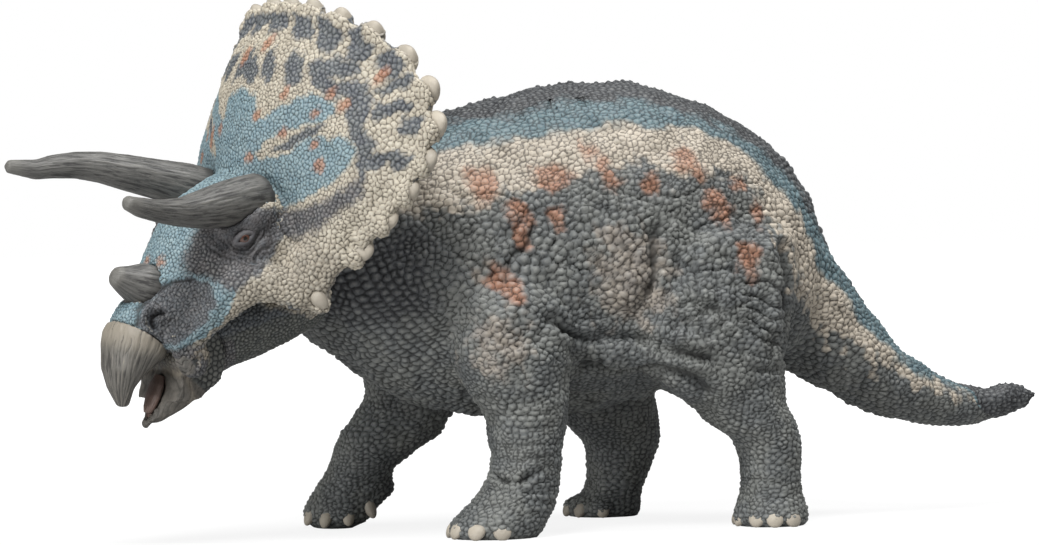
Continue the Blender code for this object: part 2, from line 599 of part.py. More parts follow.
def knob_mesh():
    """The knobs along the frill's rim, those of both sides and the middle, and the cheek tips."""
    work = bmesh.new()
    columns = frill_columns()
    for index, (root, rim) in enumerate(columns):
        row = min(index, len(columns) - 1 - index)
        if row < FIRST_KNOB_ROW and row != CHEEK_TIP_ROW:
            continue
        outward = (rim - root).normalized()
        along = (columns[index + 1][1] - columns[index - 1][1]).normalized()
        through = outward.cross(along).normalized()
        along = through.cross(outward)
        turn = Matrix((outward, along, through)).transposed()
        size = CHEEK_KNOB_SHARE if row == CHEEK_TIP_ROW else 1
        radii = Vector((KNOB_REACH, KNOB_LENGTH / 2, KNOB_THICKNESS / 2)) * size
        centre = rim - through * FRILL_THICKNESS * KNOB_SETBACK_SHARE
        ellipsoid(work, centre, radii, turn=turn)
    return finish_mesh("knobs", work)


def brow_boss_mesh():
    """The brow ridges that the long horns stand on."""
    work = bmesh.new()
    for side in (1, -1):
        centre = Vector((BROW_BOSS_SHARES[0] * SKULL_LENGTH, side * BROW_BOSS_SHARES[1] * SKULL_WIDTH / 2,
                         BROW_BOSS_SHARES[2] * SKULL_HEIGHT))
        radii = Vector((BROW_BOSS_RADII_SHARES[0] * SKULL_LENGTH, BROW_BOSS_RADII_SHARES[1] * SKULL_WIDTH / 2,
                        BROW_BOSS_RADII_SHARES[2] * SKULL_HEIGHT))
        ellipsoid(work, centre, radii, rings=10, sides=14)
    return finish_mesh("brow_bosses", work)


def horn_mesh(name, points, radii, grow, tip):
    """A tapering horn through points, with rings square to its path."""
    work = bmesh.new()
    rings = []
    for index, (point, radius) in enumerate(zip(points, radii)):
        before = points[max(index - 1, 0)]
        after = points[min(index + 1, len(points) - 1)]
        direction = (after - before).normalized()
        across = direction.cross(Vector((0, 1, 0))).normalized()
        beside = direction.cross(across)
        shift = -direction * grow if index == 0 else Vector()
        ring = []
        for step in range(HORN_SIDES):
            angle = 2 * math.pi * step / HORN_SIDES
            offset = (across * math.cos(angle) + beside * math.sin(angle)) * (radius + grow)
            ring.append(work.verts.new(point + shift + offset))
        rings.append(ring)
    for lower, upper in zip(rings, rings[1:]):
        for step in range(HORN_SIDES):
            after = (step + 1) % HORN_SIDES
            work.faces.new((lower[step], lower[after], upper[after], upper[step]))
    work.faces.new(rings[0])
    point = work.verts.new(points[-1] + (points[-1] - points[-2]).normalized() * (tip + grow))
    for step in range(HORN_SIDES):
        work.faces.new((rings[-1][step], rings[-1][(step + 1) % HORN_SIDES], point))
    return finish_mesh(name, work)


def brow_horn_mesh(name, shares, side, grow):
    base = Vector((BROW_HORN_BASE_SHARES[0] * SKULL_LENGTH, BROW_HORN_BASE_SHARES[1] * SKULL_WIDTH / 2,
                   BROW_HORN_BASE_SHARES[2] * SKULL_HEIGHT))
    points, radii = [], []
    for forward, outward, up, radius in shares:
        point = base + Vector((forward, outward, up)) * BROW_HORN_LENGTH
        points.append(point if side > 0 else mirror_y(point))
        radii.append(radius * BROW_HORN_RADIUS)
    return horn_mesh(name, points, radii, grow, BROW_HORN_RADIUS * HORN_TIP_SHARE)


def nose_horn_mesh(grow):
    base = Vector((NOSE_HORN_BASE_SHARES[0] * SKULL_LENGTH, 0, NOSE_HORN_BASE_SHARES[2] * SKULL_HEIGHT))
    points, radii = [], []
    for forward, up, radius in NOSE_HORN_SHARES:
        points.append(base + Vector((forward, 0, up)) * NOSE_HORN_LENGTH)
        radii.append(radius * NOSE_HORN_RADIUS)
    return horn_mesh("nose_horn", points, radii, grow, NOSE_HORN_RADIUS * HORN_TIP_SHARE)


def beak_rows():
    """The seam row, taken from the front of the skull, and the rows beyond it."""
    skull_rows = sagittal_rows(SKULL_SHARES, SKULL_LENGTH, SKULL_HEIGHT, SKULL_WIDTH / 2)
    middle, outward = row_centre_and_normal(skull_rows, -1, -2)
    front, corner, half = skull_rows[-1]
    rows = [(front + outward * FIT_GAP, corner + outward * FIT_GAP, half)]
    rows += sagittal_rows(BEAK_SHARES, BEAK_LENGTH, BEAK_LENGTH, BEAK_WIDTH / 2, corner.x, corner.z)
    return rows


def beak_peg(grow):
    rows = beak_rows()
    middle, outward = row_centre_and_normal(rows, 0, 1)
    return sweep("beak_peg", peg_rows(middle, outward, BEAK_PEG_LENGTH, BEAK_PEG_WIDTH, grow),
                 SMALL_SIDES, power=0.5)


def palate_mesh():
    """Hollow of the mouth under the beak and the front of the skull."""
    work = bmesh.new()
    corner = beak_rows()[0][1]
    centre = corner + Vector((PALATE_SHARES[0], 0, PALATE_SHARES[1])) * BEAK_LENGTH
    radii = (PALATE_RADII_SHARES[0] * BEAK_LENGTH, PALATE_RADII_SHARES[1] * BEAK_WIDTH,
             PALATE_RADII_SHARES[2] * BEAK_LENGTH)
    ellipsoid(work, centre, radii, rings=8, sides=12)
    return finish_mesh("palate", work)


def hinge_point():
    return Vector((HINGE_FORWARD, 0, HINGE_UP))


def heel_mesh(grow):
    """The half round heel of the jaw, centred on the hinge."""
    radius = JAW_HEEL_RADIUS + grow
    outline = arc(0, 0, radius, HEEL_START, HEEL_START + math.pi, SMALL_SIDES)
    return prism("heel", outline, -JAW_WIDTH / 2 - grow, JAW_WIDTH / 2 + grow)


def jaw_room_mesh():
    """The room that the heel sweeps between open and closed, cut right through the throat."""
    outline = arc(0, 0, JAW_HEEL_RADIUS + FIT_GAP, HEEL_START - JAW_PLAY,
                  HEEL_START + math.pi + JAW_CLOSING + JAW_PLAY, SKULL_SIDES)
    return prism("jaw_room", outline + [(0, 0)], -SKULL_WIDTH, SKULL_WIDTH)


def jaw_sweep_mesh():
    rows = sagittal_rows(JAW_SHARES, JAW_LENGTH, JAW_LENGTH, JAW_WIDTH / 2)
    return sweep("jaw_front", rows, SMALL_SIDES, power=0.85, tip=JAW_LENGTH * TIP_SHARE)


def knuckle_mesh(grow, longer=0.0):
    outline = circle(0, 0, KNUCKLE_RADIUS + grow, SMALL_SIDES)
    half_length = JAW_WIDTH / 2 + longer
    return prism("knuckle", outline, -half_length, half_length)


def pin_mesh(name, radius, half_length):
    return prism(name, circle(0, 0, radius, SKULL_SIDES), -half_length, half_length)


def boss_mesh(side):
    """The boss at the mouth corner that carries one end of the pin, let into the cheek above."""
    outline = arc(0, 0, BOSS_RADIUS, math.pi, 2 * math.pi, SMALL_SIDES // 2)
    outline += [(BOSS_RADIUS, BOSS_HEIGHT), (-BOSS_RADIUS, BOSS_HEIGHT)]
    inner = side * (JAW_WIDTH / 2 + FIT_GAP)
    outer = inner + side * BOSS_THICKNESS
    return prism("boss", outline, min(inner, outer), max(inner, outer))


def tongue_mesh(grow):
    """A tongue lying along the floor of the jaw."""
    root = Vector((TONGUE_ROOT_SHARES[0], 0, TONGUE_ROOT_SHARES[1])) * JAW_LENGTH
    line = Vector((math.cos(TONGUE_SLOPE), 0, math.sin(TONGUE_SLOPE)))
    above = Vector((-line.z, 0, line.x))
    rows = []
    for along, half, thick in TONGUE_SHARES:
        middle = root + line * TONGUE_LENGTH * along
        reach = above * TONGUE_THICKNESS * thick
        rows.append((middle + reach, middle - reach, half * TONGUE_WIDTH / 2))
    return sweep("tongue", rows, SMALL_SIDES, grow=grow)


def make_eyes():
    """Two glossy beads under the brows, and the cutters for their sockets."""
    eyes, cutters = [], []
    for name, side in (("eye_left", 1), ("eye_right", -1)):
        centre = Vector((EYE_SHARES[0] * SKULL_LENGTH, side * EYE_SHARES[1] * SKULL_WIDTH / 2,
                         EYE_SHARES[2] * SKULL_HEIGHT))
        for radius, kind in ((EYE_RADIUS, "bead"), (EYE_RADIUS + FIT_GAP, "socket")):
            work = bmesh.new()
            ellipsoid(work, Vector(), (radius, radius, radius), rings=10, sides=14)
            mesh = finish_mesh(kind, work)
            if kind == "bead":
                eyes.append(link(name, mesh, (0.09, 0.045, 0.03), 0.15, head_frame, centre))
            else:
                cutters.append(tool("cut_" + name, mesh, head_frame, centre))
    return eyes, cutters


def make_horns():
    """Nose horn and the two brow horns, each let into the skull, and the cutters for their sockets."""
    colour = (0.12, 0.105, 0.09)
    horns = [link("nose_horn", nose_horn_mesh(0.0), colour, 0.5, head_frame)]
    cutters = [tool("cut_nose_horn", nose_horn_mesh(FIT_GAP), head_frame)]
    for name, shares, side in (("brow_horn_left", BROW_HORN_LEFT_SHARES, 1),
                               ("brow_horn_right", BROW_HORN_RIGHT_SHARES, -1)):
        horns.append(link(name, brow_horn_mesh(name, shares, side, 0.0), colour, 0.5, head_frame))
        cutters.append(tool("cut_" + name, brow_horn_mesh(name, shares, side, FIT_GAP), head_frame))
    return horns, cutters


def make_beak():
    """The hard beak, plugged into the front of the skull."""
    beak = link("upper_beak", sweep("upper_beak", beak_rows(), SKULL_SIDES, power=0.92,
                                    tip=BEAK_LENGTH * TIP_SHARE), (0.14, 0.13, 0.12), 0.5, head_frame)
    combine(beak, tool("join_beak_peg", beak_peg(0.0), head_frame), "UNION")
    return beak, [tool("cut_beak_socket", beak_peg(FIT_GAP), head_frame)]


def make_jaw():
    """The lower jaw on its hinge, the pin and the tongue. All are laid out from the hinge."""
    hinge = bpy.data.objects.new("jaw_hinge", None)
    bpy.context.scene.collection.objects.link(hinge)
    hinge.parent = head_frame
    hinge.location = hinge_point()
    jaw = link("lower_jaw", jaw_sweep_mesh(), (0.10, 0.10, 0.10), 0.55, hinge)
    combine(jaw, tool("join_heel", heel_mesh(0.0), hinge), "UNION")
    combine(jaw, tool("join_knuckle", knuckle_mesh(0.0), hinge), "UNION")
    bore = pin_mesh("jaw_bore", PIN_RADIUS + PIN_GAP, JAW_WIDTH)
    combine(jaw, tool("cut_pin_bore", bore, hinge), "DIFFERENCE")
    combine(jaw, tool("cut_tongue", tongue_mesh(FIT_GAP), hinge), "DIFFERENCE")
    tongue = link("tongue", tongue_mesh(0.0), (0.25, 0.09, 0.07), 0.4, hinge)
    half_length = JAW_WIDTH / 2 + FIT_GAP + BOSS_THICKNESS
    pin_shape = pin_mesh("jaw_hinge_pin", PIN_RADIUS, half_length)
    pin = link("jaw_hinge_pin", pin_shape, (0.10, 0.095, 0.09), 0.5, hinge)
    return jaw, tongue, pin, hinge


def make_head(horn_cutters, eye_cutters, beak_cutters, beak, hinge):
    """Skull, throat, brows, frill and knobs as one moulding, cut for everything that it carries."""
    head = link("head_shell", skull_mesh(0.0), (0.22, 0.26, 0.28), 0.6, head_frame)
    combine(head, tool("join_throat", throat_mesh(0.0), head_frame), "UNION")
    combine(head, tool("cut_jaw_room", jaw_room_mesh(), hinge), "DIFFERENCE")
    combine(head, tool("cut_knuckle", knuckle_mesh(FIT_GAP, BOSS_THICKNESS / 2), hinge), "DIFFERENCE")
    for side in (1, -1):
        combine(head, tool("join_boss", boss_mesh(side), hinge), "UNION")
    palate = tool("cut_palate", palate_mesh(), head_frame)
    combine(head, palate, "DIFFERENCE")
    combine(beak, palate, "DIFFERENCE")
    bore = pin_mesh("head_bore", PIN_RADIUS + PIN_GAP, SKULL_WIDTH)
    combine(head, tool("cut_head_bore", bore, hinge), "DIFFERENCE")
    for name, mesh in (("join_frill", frill_mesh(0.0)), ("join_brows", brow_boss_mesh()),
                       ("join_knobs", knob_mesh()), ("join_neck_peg", neck_peg(0.0))):
        combine(head, tool(name, mesh, head_frame), "UNION")
    for cutter in horn_cutters + eye_cutters + beak_cutters:
        combine(head, cutter, "DIFFERENCE")
    seats = []
    for name, mesh in (("cut_skull_seat", skull_mesh(FIT_GAP)), ("cut_throat_seat", throat_mesh(FIT_GAP)),
                       ("cut_neck_socket", neck_peg(FIT_GAP)), ("cut_frill_room", frill_mesh(FIT_GAP))):
        seats.append(tool(name, mesh, head_frame))
    return head, seats


def roll_mesh(name, shares):
    """A roll of loose skin, half sunk in the flank, that runs under the elbow to the knee."""
    points = [Vector((TORSO_FRONT_X + x * TORSO_LENGTH, y * TORSO_WIDTH / 2, z * BACK_HEIGHT))
              for x, y, z, _ in shares]
    radii = [size * ROLL_RADIUS for *_, size in shares]
    return horn_mesh(name, points, radii, 0.0, ROLL_RADIUS * HORN_TIP_SHARE)


def make_torso(cutters):
    """The trunk with its neck and flank rolls, cut for the head, the legs and the tail."""
    rows = sagittal_rows(TORSO_SHARES, TORSO_LENGTH, BACK_HEIGHT, TORSO_WIDTH / 2, start_x=TORSO_FRONT_X)
    trunk = sweep("torso", rows, TORSO_SIDES, power=0.95, pear=0.10)
    torso = link("torso", trunk, (0.20, 0.21, 0.21), 0.6, figure)
    for name, shares in (("join_left_roll", ROLL_LEFT_SHARES), ("join_right_roll", ROLL_RIGHT_SHARES)):
        combine(torso, tool(name, roll_mesh(name, shares), figure), "UNION")
    for cutter in cutters:
        combine(torso, cutter, "DIFFERENCE")
    return torso


def centre_figure(pieces):
    """Move the whole figure so that the middle of its box, seen from above, is the origin."""
    bpy.context.view_layer.update()
    graph = bpy.context.evaluated_depsgraph_get()
    corners = []
    for piece in pieces:
        evaluated = piece.evaluated_get(graph)
        mesh = evaluated.to_mesh()
        corners += [evaluated.matrix_world @ vertex.co for vertex in mesh.vertices]
        evaluated.to_mesh_clear()
    for axis in (0, 1):
        values = [corner[axis] for corner in corners]
        figure.location[axis] = -(min(values) + max(values)) / 2
    bpy.context.view_layer.update()


pieces, trunk_cutters, thigh_cutters = [], [], []
for limb_name in LIMBS:
    leg, cutters = make_leg(limb_name)
    pieces.append(leg)
    trunk_cutters += cutters
    if limb_name.startswith("hind"):
        thigh_cutters.append(cutters[0])
tail, cutters = make_tail(thigh_cutters)
pieces.append(tail)
trunk_cutters += cutters
horns, horn_cutters = make_horns()
eyes, eye_cutters = make_eyes()
beak, beak_cutters = make_beak()
jaw, tongue, pin, hinge = make_jaw()
head, cutters = make_head(horn_cutters, eye_cutters, beak_cutters, beak, hinge)
pieces += horns + eyes + [beak, jaw, tongue, pin, head]
trunk_cutters += cutters
pieces.append(make_torso(trunk_cutters))
centre_figure(pieces)
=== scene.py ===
import json
import math

import bmesh
import bpy
import numpy as np
from mathutils import Matrix, Vector, bvhtree, geometry, kdtree


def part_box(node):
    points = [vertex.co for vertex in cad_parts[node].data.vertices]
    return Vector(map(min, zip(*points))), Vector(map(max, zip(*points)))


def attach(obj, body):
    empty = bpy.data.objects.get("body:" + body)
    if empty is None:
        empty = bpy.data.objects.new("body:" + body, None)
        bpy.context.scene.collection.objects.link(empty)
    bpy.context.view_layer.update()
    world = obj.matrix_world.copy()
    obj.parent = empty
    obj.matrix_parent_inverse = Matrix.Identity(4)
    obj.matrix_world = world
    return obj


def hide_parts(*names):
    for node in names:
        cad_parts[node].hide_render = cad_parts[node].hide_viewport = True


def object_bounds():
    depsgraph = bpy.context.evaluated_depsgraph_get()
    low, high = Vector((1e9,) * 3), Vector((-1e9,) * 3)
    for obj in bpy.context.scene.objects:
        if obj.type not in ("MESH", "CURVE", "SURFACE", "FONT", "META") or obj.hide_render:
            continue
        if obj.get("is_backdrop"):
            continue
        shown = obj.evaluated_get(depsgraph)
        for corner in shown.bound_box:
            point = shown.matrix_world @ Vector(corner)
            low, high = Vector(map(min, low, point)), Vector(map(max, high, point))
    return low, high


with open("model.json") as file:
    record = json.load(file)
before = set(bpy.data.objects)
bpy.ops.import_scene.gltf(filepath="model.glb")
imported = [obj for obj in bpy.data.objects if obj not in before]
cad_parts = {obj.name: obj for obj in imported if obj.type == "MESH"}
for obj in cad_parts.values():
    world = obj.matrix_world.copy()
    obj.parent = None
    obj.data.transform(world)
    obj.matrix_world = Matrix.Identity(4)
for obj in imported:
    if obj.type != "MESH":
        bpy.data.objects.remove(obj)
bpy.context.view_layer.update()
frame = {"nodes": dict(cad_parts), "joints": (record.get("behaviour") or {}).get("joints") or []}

# ---------------------------------------------------------------------------------------------
# Body skin: trunk, tail and four legs, cast in hard vinyl and glued at hips, shoulders and
# tail root, so that the sculpted hide runs on over the joints. It is cut along those joints
# into one piece for each casting. Sizes in this section are in millimetres.
# ---------------------------------------------------------------------------------------------


def relax(points, edges, rounds):
    """Evens a skin out without shrinking it."""
    size = len(points)
    a, b = edges[:, 0], edges[:, 1]
    count = np.bincount(edges.ravel(), minlength=size)[:, None]
    for _ in range(rounds):
        for push in (0.5, -0.526):
            total = np.stack([np.bincount(a, points[b, k], size) + np.bincount(b, points[a, k], size)
                              for k in range(3)], 1)
            points = points + push * (total / count - points)
    return points


def read(mesh, what="co"):
    """Corner points of a mesh in millimetres, or its normals."""
    values = np.empty(len(mesh.vertices) * 3, np.float32)
    if what == "co":
        mesh.vertices.foreach_get("co", values)
        return values.reshape(-1, 3).astype(float) * 1000
    mesh.vertex_normals.foreach_get("vector", values)
    return values.reshape(-1, 3).astype(float)


def write(mesh, points):
    mesh.vertices.foreach_set("co", (points / 1000).astype(np.float32).ravel())
    mesh.update()


def edges_of(mesh):
    pairs = np.empty(len(mesh.edges) * 2, np.int32)
    mesh.edges.foreach_get("vertices", pairs)
    return pairs.reshape(-1, 2)


def show(name, mesh):
    piece = bpy.data.objects.new(name, mesh)
    bpy.context.scene.collection.objects.link(piece)
    return piece


def settle(piece):
    """Bakes a piece's modifiers into a plain mesh of its own."""
    bpy.context.view_layer.update()
    baked = bpy.data.meshes.new_from_object(piece.evaluated_get(bpy.context.evaluated_depsgraph_get()))
    name, old = piece.name, piece.data
    piece.modifiers.clear()
    piece.data = baked
    bpy.data.meshes.remove(old)
    baked.name = name
    return baked


def cast_skin(name, nodes, voxel, rounds, levels, swell=0.25):
    """One closed skin over copies of the solids, swelled a little, rounded and refined."""
    work = bmesh.new()
    for node in nodes:
        work.from_mesh(frame["nodes"][node].data)
    bmesh.ops.remove_doubles(work, verts=work.verts, dist=2e-6)
    work.normal_update()
    for v in work.verts:
        v.co += v.normal * swell / 1000
    mesh = bpy.data.meshes.new(name)
    work.to_mesh(mesh)
    work.free()
    piece = show(name, mesh)
    melt = piece.modifiers.new("melt", "REMESH")
    melt.mode, melt.voxel_size = "VOXEL", voxel / 1000
    mesh = settle(piece)
    work = bmesh.new()                      # keep the outer skin, drop pockets inside
    work.from_mesh(mesh)
    left, best = set(work.verts), []
    while left:
        part, front = [], [left.pop()]
        while front:
            v = front.pop()
            part.append(v)
            for edge in v.link_edges:
                other = edge.other_vert(v)
                if other in left:
                    left.discard(other)
                    front.append(other)
        if len(part) > len(best):
            best = part
    best = set(best)
    bmesh.ops.delete(work, geom=[v for v in work.verts if v not in best], context="VERTS")
    work.to_mesh(mesh)
    work.free()
    write(mesh, relax(read(mesh), edges_of(mesh), rounds))
    if levels:
        finer = piece.modifiers.new("finer", "SUBSURF")
        finer.levels = finer.render_levels = levels
        mesh = settle(piece)
    for face in mesh.polygons:
        face.use_smooth = True
    return piece


def beside(flat, path):
    """Distance of flat points from a line of points, positive on the left going along it."""
    best = np.full(len(flat), 1e9)
    sign = np.ones(len(flat))
    path = np.array(path, float)
    for a, b in zip(path[:-1], path[1:]):
        run = b - a
        t = np.clip(((flat - a) @ run) / (run @ run), 0, 1)
        gap = flat - a - t[:, None] * run
        far = np.hypot(gap[:, 0], gap[:, 1])
        side = np.sign(run[0] * (flat[:, 1] - a[1]) - run[1] * (flat[:, 0] - a[0]))
        nearer = far < best
        best = np.where(nearer, far, best)
        sign = np.where(nearer, side, sign)
    return best * sign


def along(points, path):
    """Distance of points from a line through space, and how far along it they lie, 0 to 1."""
    best, share = np.full(len(points), 1e9), np.zeros(len(points))
    path = np.array(path, float)
    for i, (a, b) in enumerate(zip(path[:-1], path[1:])):
        run = b - a
        t = np.clip(((points - a) @ run) / (run @ run), 0, 1)
        far = np.linalg.norm(points - a - t[:, None] * run, axis=1)
        nearer = far < best
        best = np.where(nearer, far, best)
        share = np.where(nearer, (i + t) / (len(path) - 1), share)
    return best, share


def bell(distance, width):
    return np.exp(-(distance / width) ** 2)


def ramp(value, low, high):
    t = np.clip((value - low) / (high - low), 0, 1)
    return t * t * (3 - 2 * t)


def wobble(points, size, seed=0):
    """Smooth random values from about -1 to 1, that change over a length of size."""
    rng = np.random.default_rng(seed)
    total = np.zeros(len(points))
    for _ in range(9):
        way = rng.normal(size=3)
        way /= np.linalg.norm(way)
        beat = 2 * math.pi / size * rng.uniform(0.6, 1.5)
        total += np.sin(points @ way * beat + rng.uniform(0, 6.28))
    return total / 3.0


def stamp(mesh, name, values):
    """Keeps one number for each corner point, for the paint to read."""
    layer = mesh.attributes.get(name) or mesh.attributes.new(name, "FLOAT", "POINT")
    layer.data.foreach_set("value", np.asarray(values, np.float32))


def grid_centres(points, a, b):
    """Middles of the cells of a grid laid over a patch of skin."""
    keys = np.round(a).astype(np.int64) * 100003 + np.round(b).astype(np.int64)
    _, place, count = np.unique(keys, return_inverse=True, return_counts=True)
    place = place.ravel()
    return np.stack([np.bincount(place, points[:, k]) / count for k in range(3)], 1)


def scatter_centres(points, spacing, first, seed):
    """Scale centres over a skin, each kept its own spacing from the rest."""
    tree = kdtree.KDTree(len(points))
    for i, p in enumerate(points):
        tree.insert(p, i)
    tree.balance()
    free = np.ones(len(points), bool)
    chosen = []
    for centre in first:
        chosen.append(tuple(centre))
        _, near, _ = tree.find(centre)
        for _, i, _ in tree.find_range(centre, spacing[near] * 0.8):
            free[i] = False
    order = np.random.default_rng(seed).permutation(len(points))
    for i in order:
        if free[i]:
            chosen.append(tuple(points[i]))
            for _, j, _ in tree.find_range(points[i], spacing[i] * 0.86):
                free[j] = False
    return np.array(chosen)


def tree_of(centres):
    tree = kdtree.KDTree(len(centres))
    for i, c in enumerate(centres):
        tree.insert(c, i)
    tree.balance()
    return tree


def even_out(centres, points, held, rounds=2):
    """Moves each centre to the middle of its own scale, apart from the first held ones."""
    for _ in range(rounds):
        tree = tree_of(centres)
        own = np.fromiter((tree.find(p)[1] for p in points), np.int64, len(points))
        count = np.maximum(np.bincount(own, minlength=len(centres)), 1)
        moved = np.stack([np.bincount(own, points[:, k], len(centres)) / count for k in range(3)], 1)
        empty = np.bincount(own, minlength=len(centres)) == 0
        moved[empty] = centres[empty]
        moved[:held] = centres[:held]
        centres = moved
    return centres


def find_scales(points, centres, weights):
    """For each point: its own scale, and how far it is from that scale's edge. A heavy scale
    spreads over its lighter neighbours."""
    tree = tree_of(centres)
    own = np.empty(len(points), np.int64)
    edge = np.empty(len(points))
    for i, p in enumerate(points):
        found = sorted(((d * d - weights[n], n, c) for c, n, d in tree.find_n(p, 5)),
                       key=lambda f: f[0])
        least, own[i], centre = found[0]
        edge[i] = min((more - least) / (2 * (c - centre).length + 1e-9) for more, _, c in found[1:])
    return own, edge


def mean_of(values, own, count):
    return np.bincount(own, values, count) / np.maximum(np.bincount(own, minlength=count), 1)


body = cast_skin("body_skin", ("torso", "tail", "front_left_leg", "front_right_leg",
                               "hind_left_leg", "hind_right_leg"), 1.38, 74, 2)
p = read(body.data)
n = read(body.data, "normal")
MIDDLE_Y = 4.7                              # the trunk's middle plane

# folds of the hide: lines through space, groove width and depth, and the height of the roll
# of skin that hangs over it
FOLDS = (
    (((-11, -28, 52), (-7.5, -27, 48.5), (-1.6, -22.4, 46), (7, -22, 44.6), (13, -22, 44.6),
      (17, -25, 44), (22, -28, 42.3), (28, -30, 40.2), (34, -30, 38.4)), 1.2, 1.5, 1.0),
    (((0, -18.7, 38), (6.4, -19.4, 39.8), (12.7, -19.5, 39.6), (17.2, -23.5, 39.0), (22, -27.3, 37),
      (27, -28.7, 34.8), (33, -29, 31)), 1.3, 1.2, 0.9),
    (((-9.4, -22.9, 72.3), (-13.6, -23.5, 67.1), (-18.3, -23.4, 61)), 0.65, 0.9, 0.35),
    (((-24, -22, 14.5), (-18, -30, 14), (-11, -28, 15.5)), 0.8, 0.8, 0.6),
    (((20.6, -24, 73), (18.4, -25, 67.6), (16.9, -25.2, 60.6), (14.8, -24.8, 53.7)), 1.6, 0.7, 0.6),
    (((21, -25, 50), (26, -28, 52), (33, -29.5, 51)), 1.0, 0.5, 0.4),
    (((50.5, -23, 68), (52.2, -24, 62), (53.2, -23, 56), (53.2, -22, 50), (52.0, -23, 43),
      (49.5, -24, 37)), 3.1, 4.5, 0.0),
    (((46.5, -25, 68), (47.8, -26, 60), (47.6, -27, 52), (46.5, -28, 44)), 2.4, -1.3, 0.0),
    (((38, -29, 38), (43, -29, 36.5), (48, -26, 37)), 1.0, 0.7, 0.6),
    (((-11, 30, 52), (-6, 31, 48), (4, 31.5, 45), (18, 32, 43), (30, 33, 40)), 1.2, 1.2, 0.8),
)
crease = np.zeros(len(p))
sculpt = np.zeros(len(p))
bent = p + np.stack([wobble(p, 9, 3), 0 * p[:, 0], wobble(p, 9, 4)], 1) * 0.8
for path, width, depth, roll in FOLDS:
    far, share = along(bent, path)
    fade = ramp(share, 0.0, 0.12) * ramp(1 - share, 0.0, 0.12)
    sculpt -= depth * bell(far, width) * fade
    sculpt += roll * bell(far - 2.3 * width, 1.2 * width) * fade
    crease = np.maximum(crease, bell(far, width * 0.8) * fade * (depth > 0))


def rolls(level, spacing, depth, where):
    """Rolls of skin a spacing apart, round on top with a sharp furrow between, along lines of
    equal level: the height to add and how deep in a furrow each point is."""
    wave = np.abs((level / spacing) % 1.0 - 0.5) * 2          # 0 in the furrow
    return depth * (np.sqrt(1 - (1 - wave) ** 2) - 0.75) * where, 0.8 * bell(wave, 0.22) * where


left_side = p[:, 1] < MIDDLE_Y - 8
right_side = p[:, 1] > MIDDLE_Y + 8
either = (left_side | right_side).astype(float)
thigh = bell(np.hypot((p[:, 0] - 34) / 15, (p[:, 2] - 54) / 15), 1.0) * either
rump = (ramp(p[:, 0], 36, 41) * ramp(54 - p[:, 0], 0, 4) * ramp(p[:, 2], 36, 42)
        * ramp(63 - p[:, 2], 0, 6) * either)
elbow = bell(np.hypot(p[:, 0] + 14, (p[:, 2] - 22) / 1.6), 9)
belly = ramp(-n[:, 2], 0.0, 0.5) * (p[:, 2] > 22)
waist = (ramp(p[:, 2], 45, 52) * ramp(82 - p[:, 2], 0, 8) * ramp(p[:, 0], -8, 2)
         * ramp(34 - p[:, 0], 0, 8))
ankle = ramp(15 - p[:, 2], 0, 3) * ramp(p[:, 2], 4.5, 6)
for level, gap, depth, where in (
        (p[:, 0] + 0.25 * p[:, 2] + 1.5 * wobble(p, 17, 31), 4.4, 0.75, thigh * (1 - rump)),
        (p[:, 2] + 0.1 * p[:, 0] + 0.9 * wobble(p, 12, 32), 3.4, 0.40, thigh * (1 - rump)),
        (p[:, 2] + 0.30 * p[:, 0] + 0.8 * wobble(p, 9, 33), 3.4, 1.35, rump),
        (p[:, 2] + 1.0 * wobble(p, 10, 34), 3.4, 0.60, elbow),
        (p[:, 0] + 1.2 * wobble(p, 12, 35), 3.6, 0.40, belly),
        (p[:, 2] + 0.8 * wobble(p, 9, 37), 3.1, 0.35, ankle),
        (p[:, 0] * 0.8 + p[:, 2] + 2.5 * wobble(p, 21, 36), 6.5, 0.55, waist)):
    height, furrow = rolls(level, gap, depth, where)
    sculpt += height
    crease = np.maximum(crease, furrow * min(1.0, depth))
loose = (ramp(p[:, 2], 34, 44) * ramp(86 - p[:, 2], 0, 8) * ramp(p[:, 0], -34, -26)
         * ramp(52 - p[:, 0], 0, 6))
for size, width, depth, seed in ((15, 0.14, 0.62, 62), (9, 0.17, 0.38, 63)):
    line = bell(np.abs(wobble(p * (0.75, 0.75, 1.15), size, seed)), width) * loose
    sculpt += depth * (0.35 * loose - line)
    crease = np.maximum(crease, 0.25 * line)
sculpt += (0.28 * wobble(p, 12, 5) + 0.20 * wobble(p, 6, 64)) * ramp(p[:, 2], 10, 25)
p = p + n * sculpt[:, None]
write(body.data, p)
n = read(body.data, "normal")


FLANK_SHARE = 0.80                          # a scale's height against its length on the flank
LEG_TOP, LEG_SHARE = 55, 0.30               # below this height scales are this much wider than high


def stretch(points):
    """Space as the scales see it: they lie longer along the flank and wider down the legs."""
    out = points.copy()
    out[:, 0] *= FLANK_SHARE
    out[:, 2] = points[:, 2] + LEG_SHARE * np.minimum(points[:, 2] - LEG_TOP, 0)
    return out


def unstretch(points):
    """Places in stretched space, back where they are on the figure."""
    out = points.copy()
    out[:, 0] /= FLANK_SHARE
    out[:, 2] = np.where(points[:, 2] < LEG_TOP,
                         LEG_TOP + (points[:, 2] - LEG_TOP) / (1 + LEG_SHARE), points[:, 2])
    return out


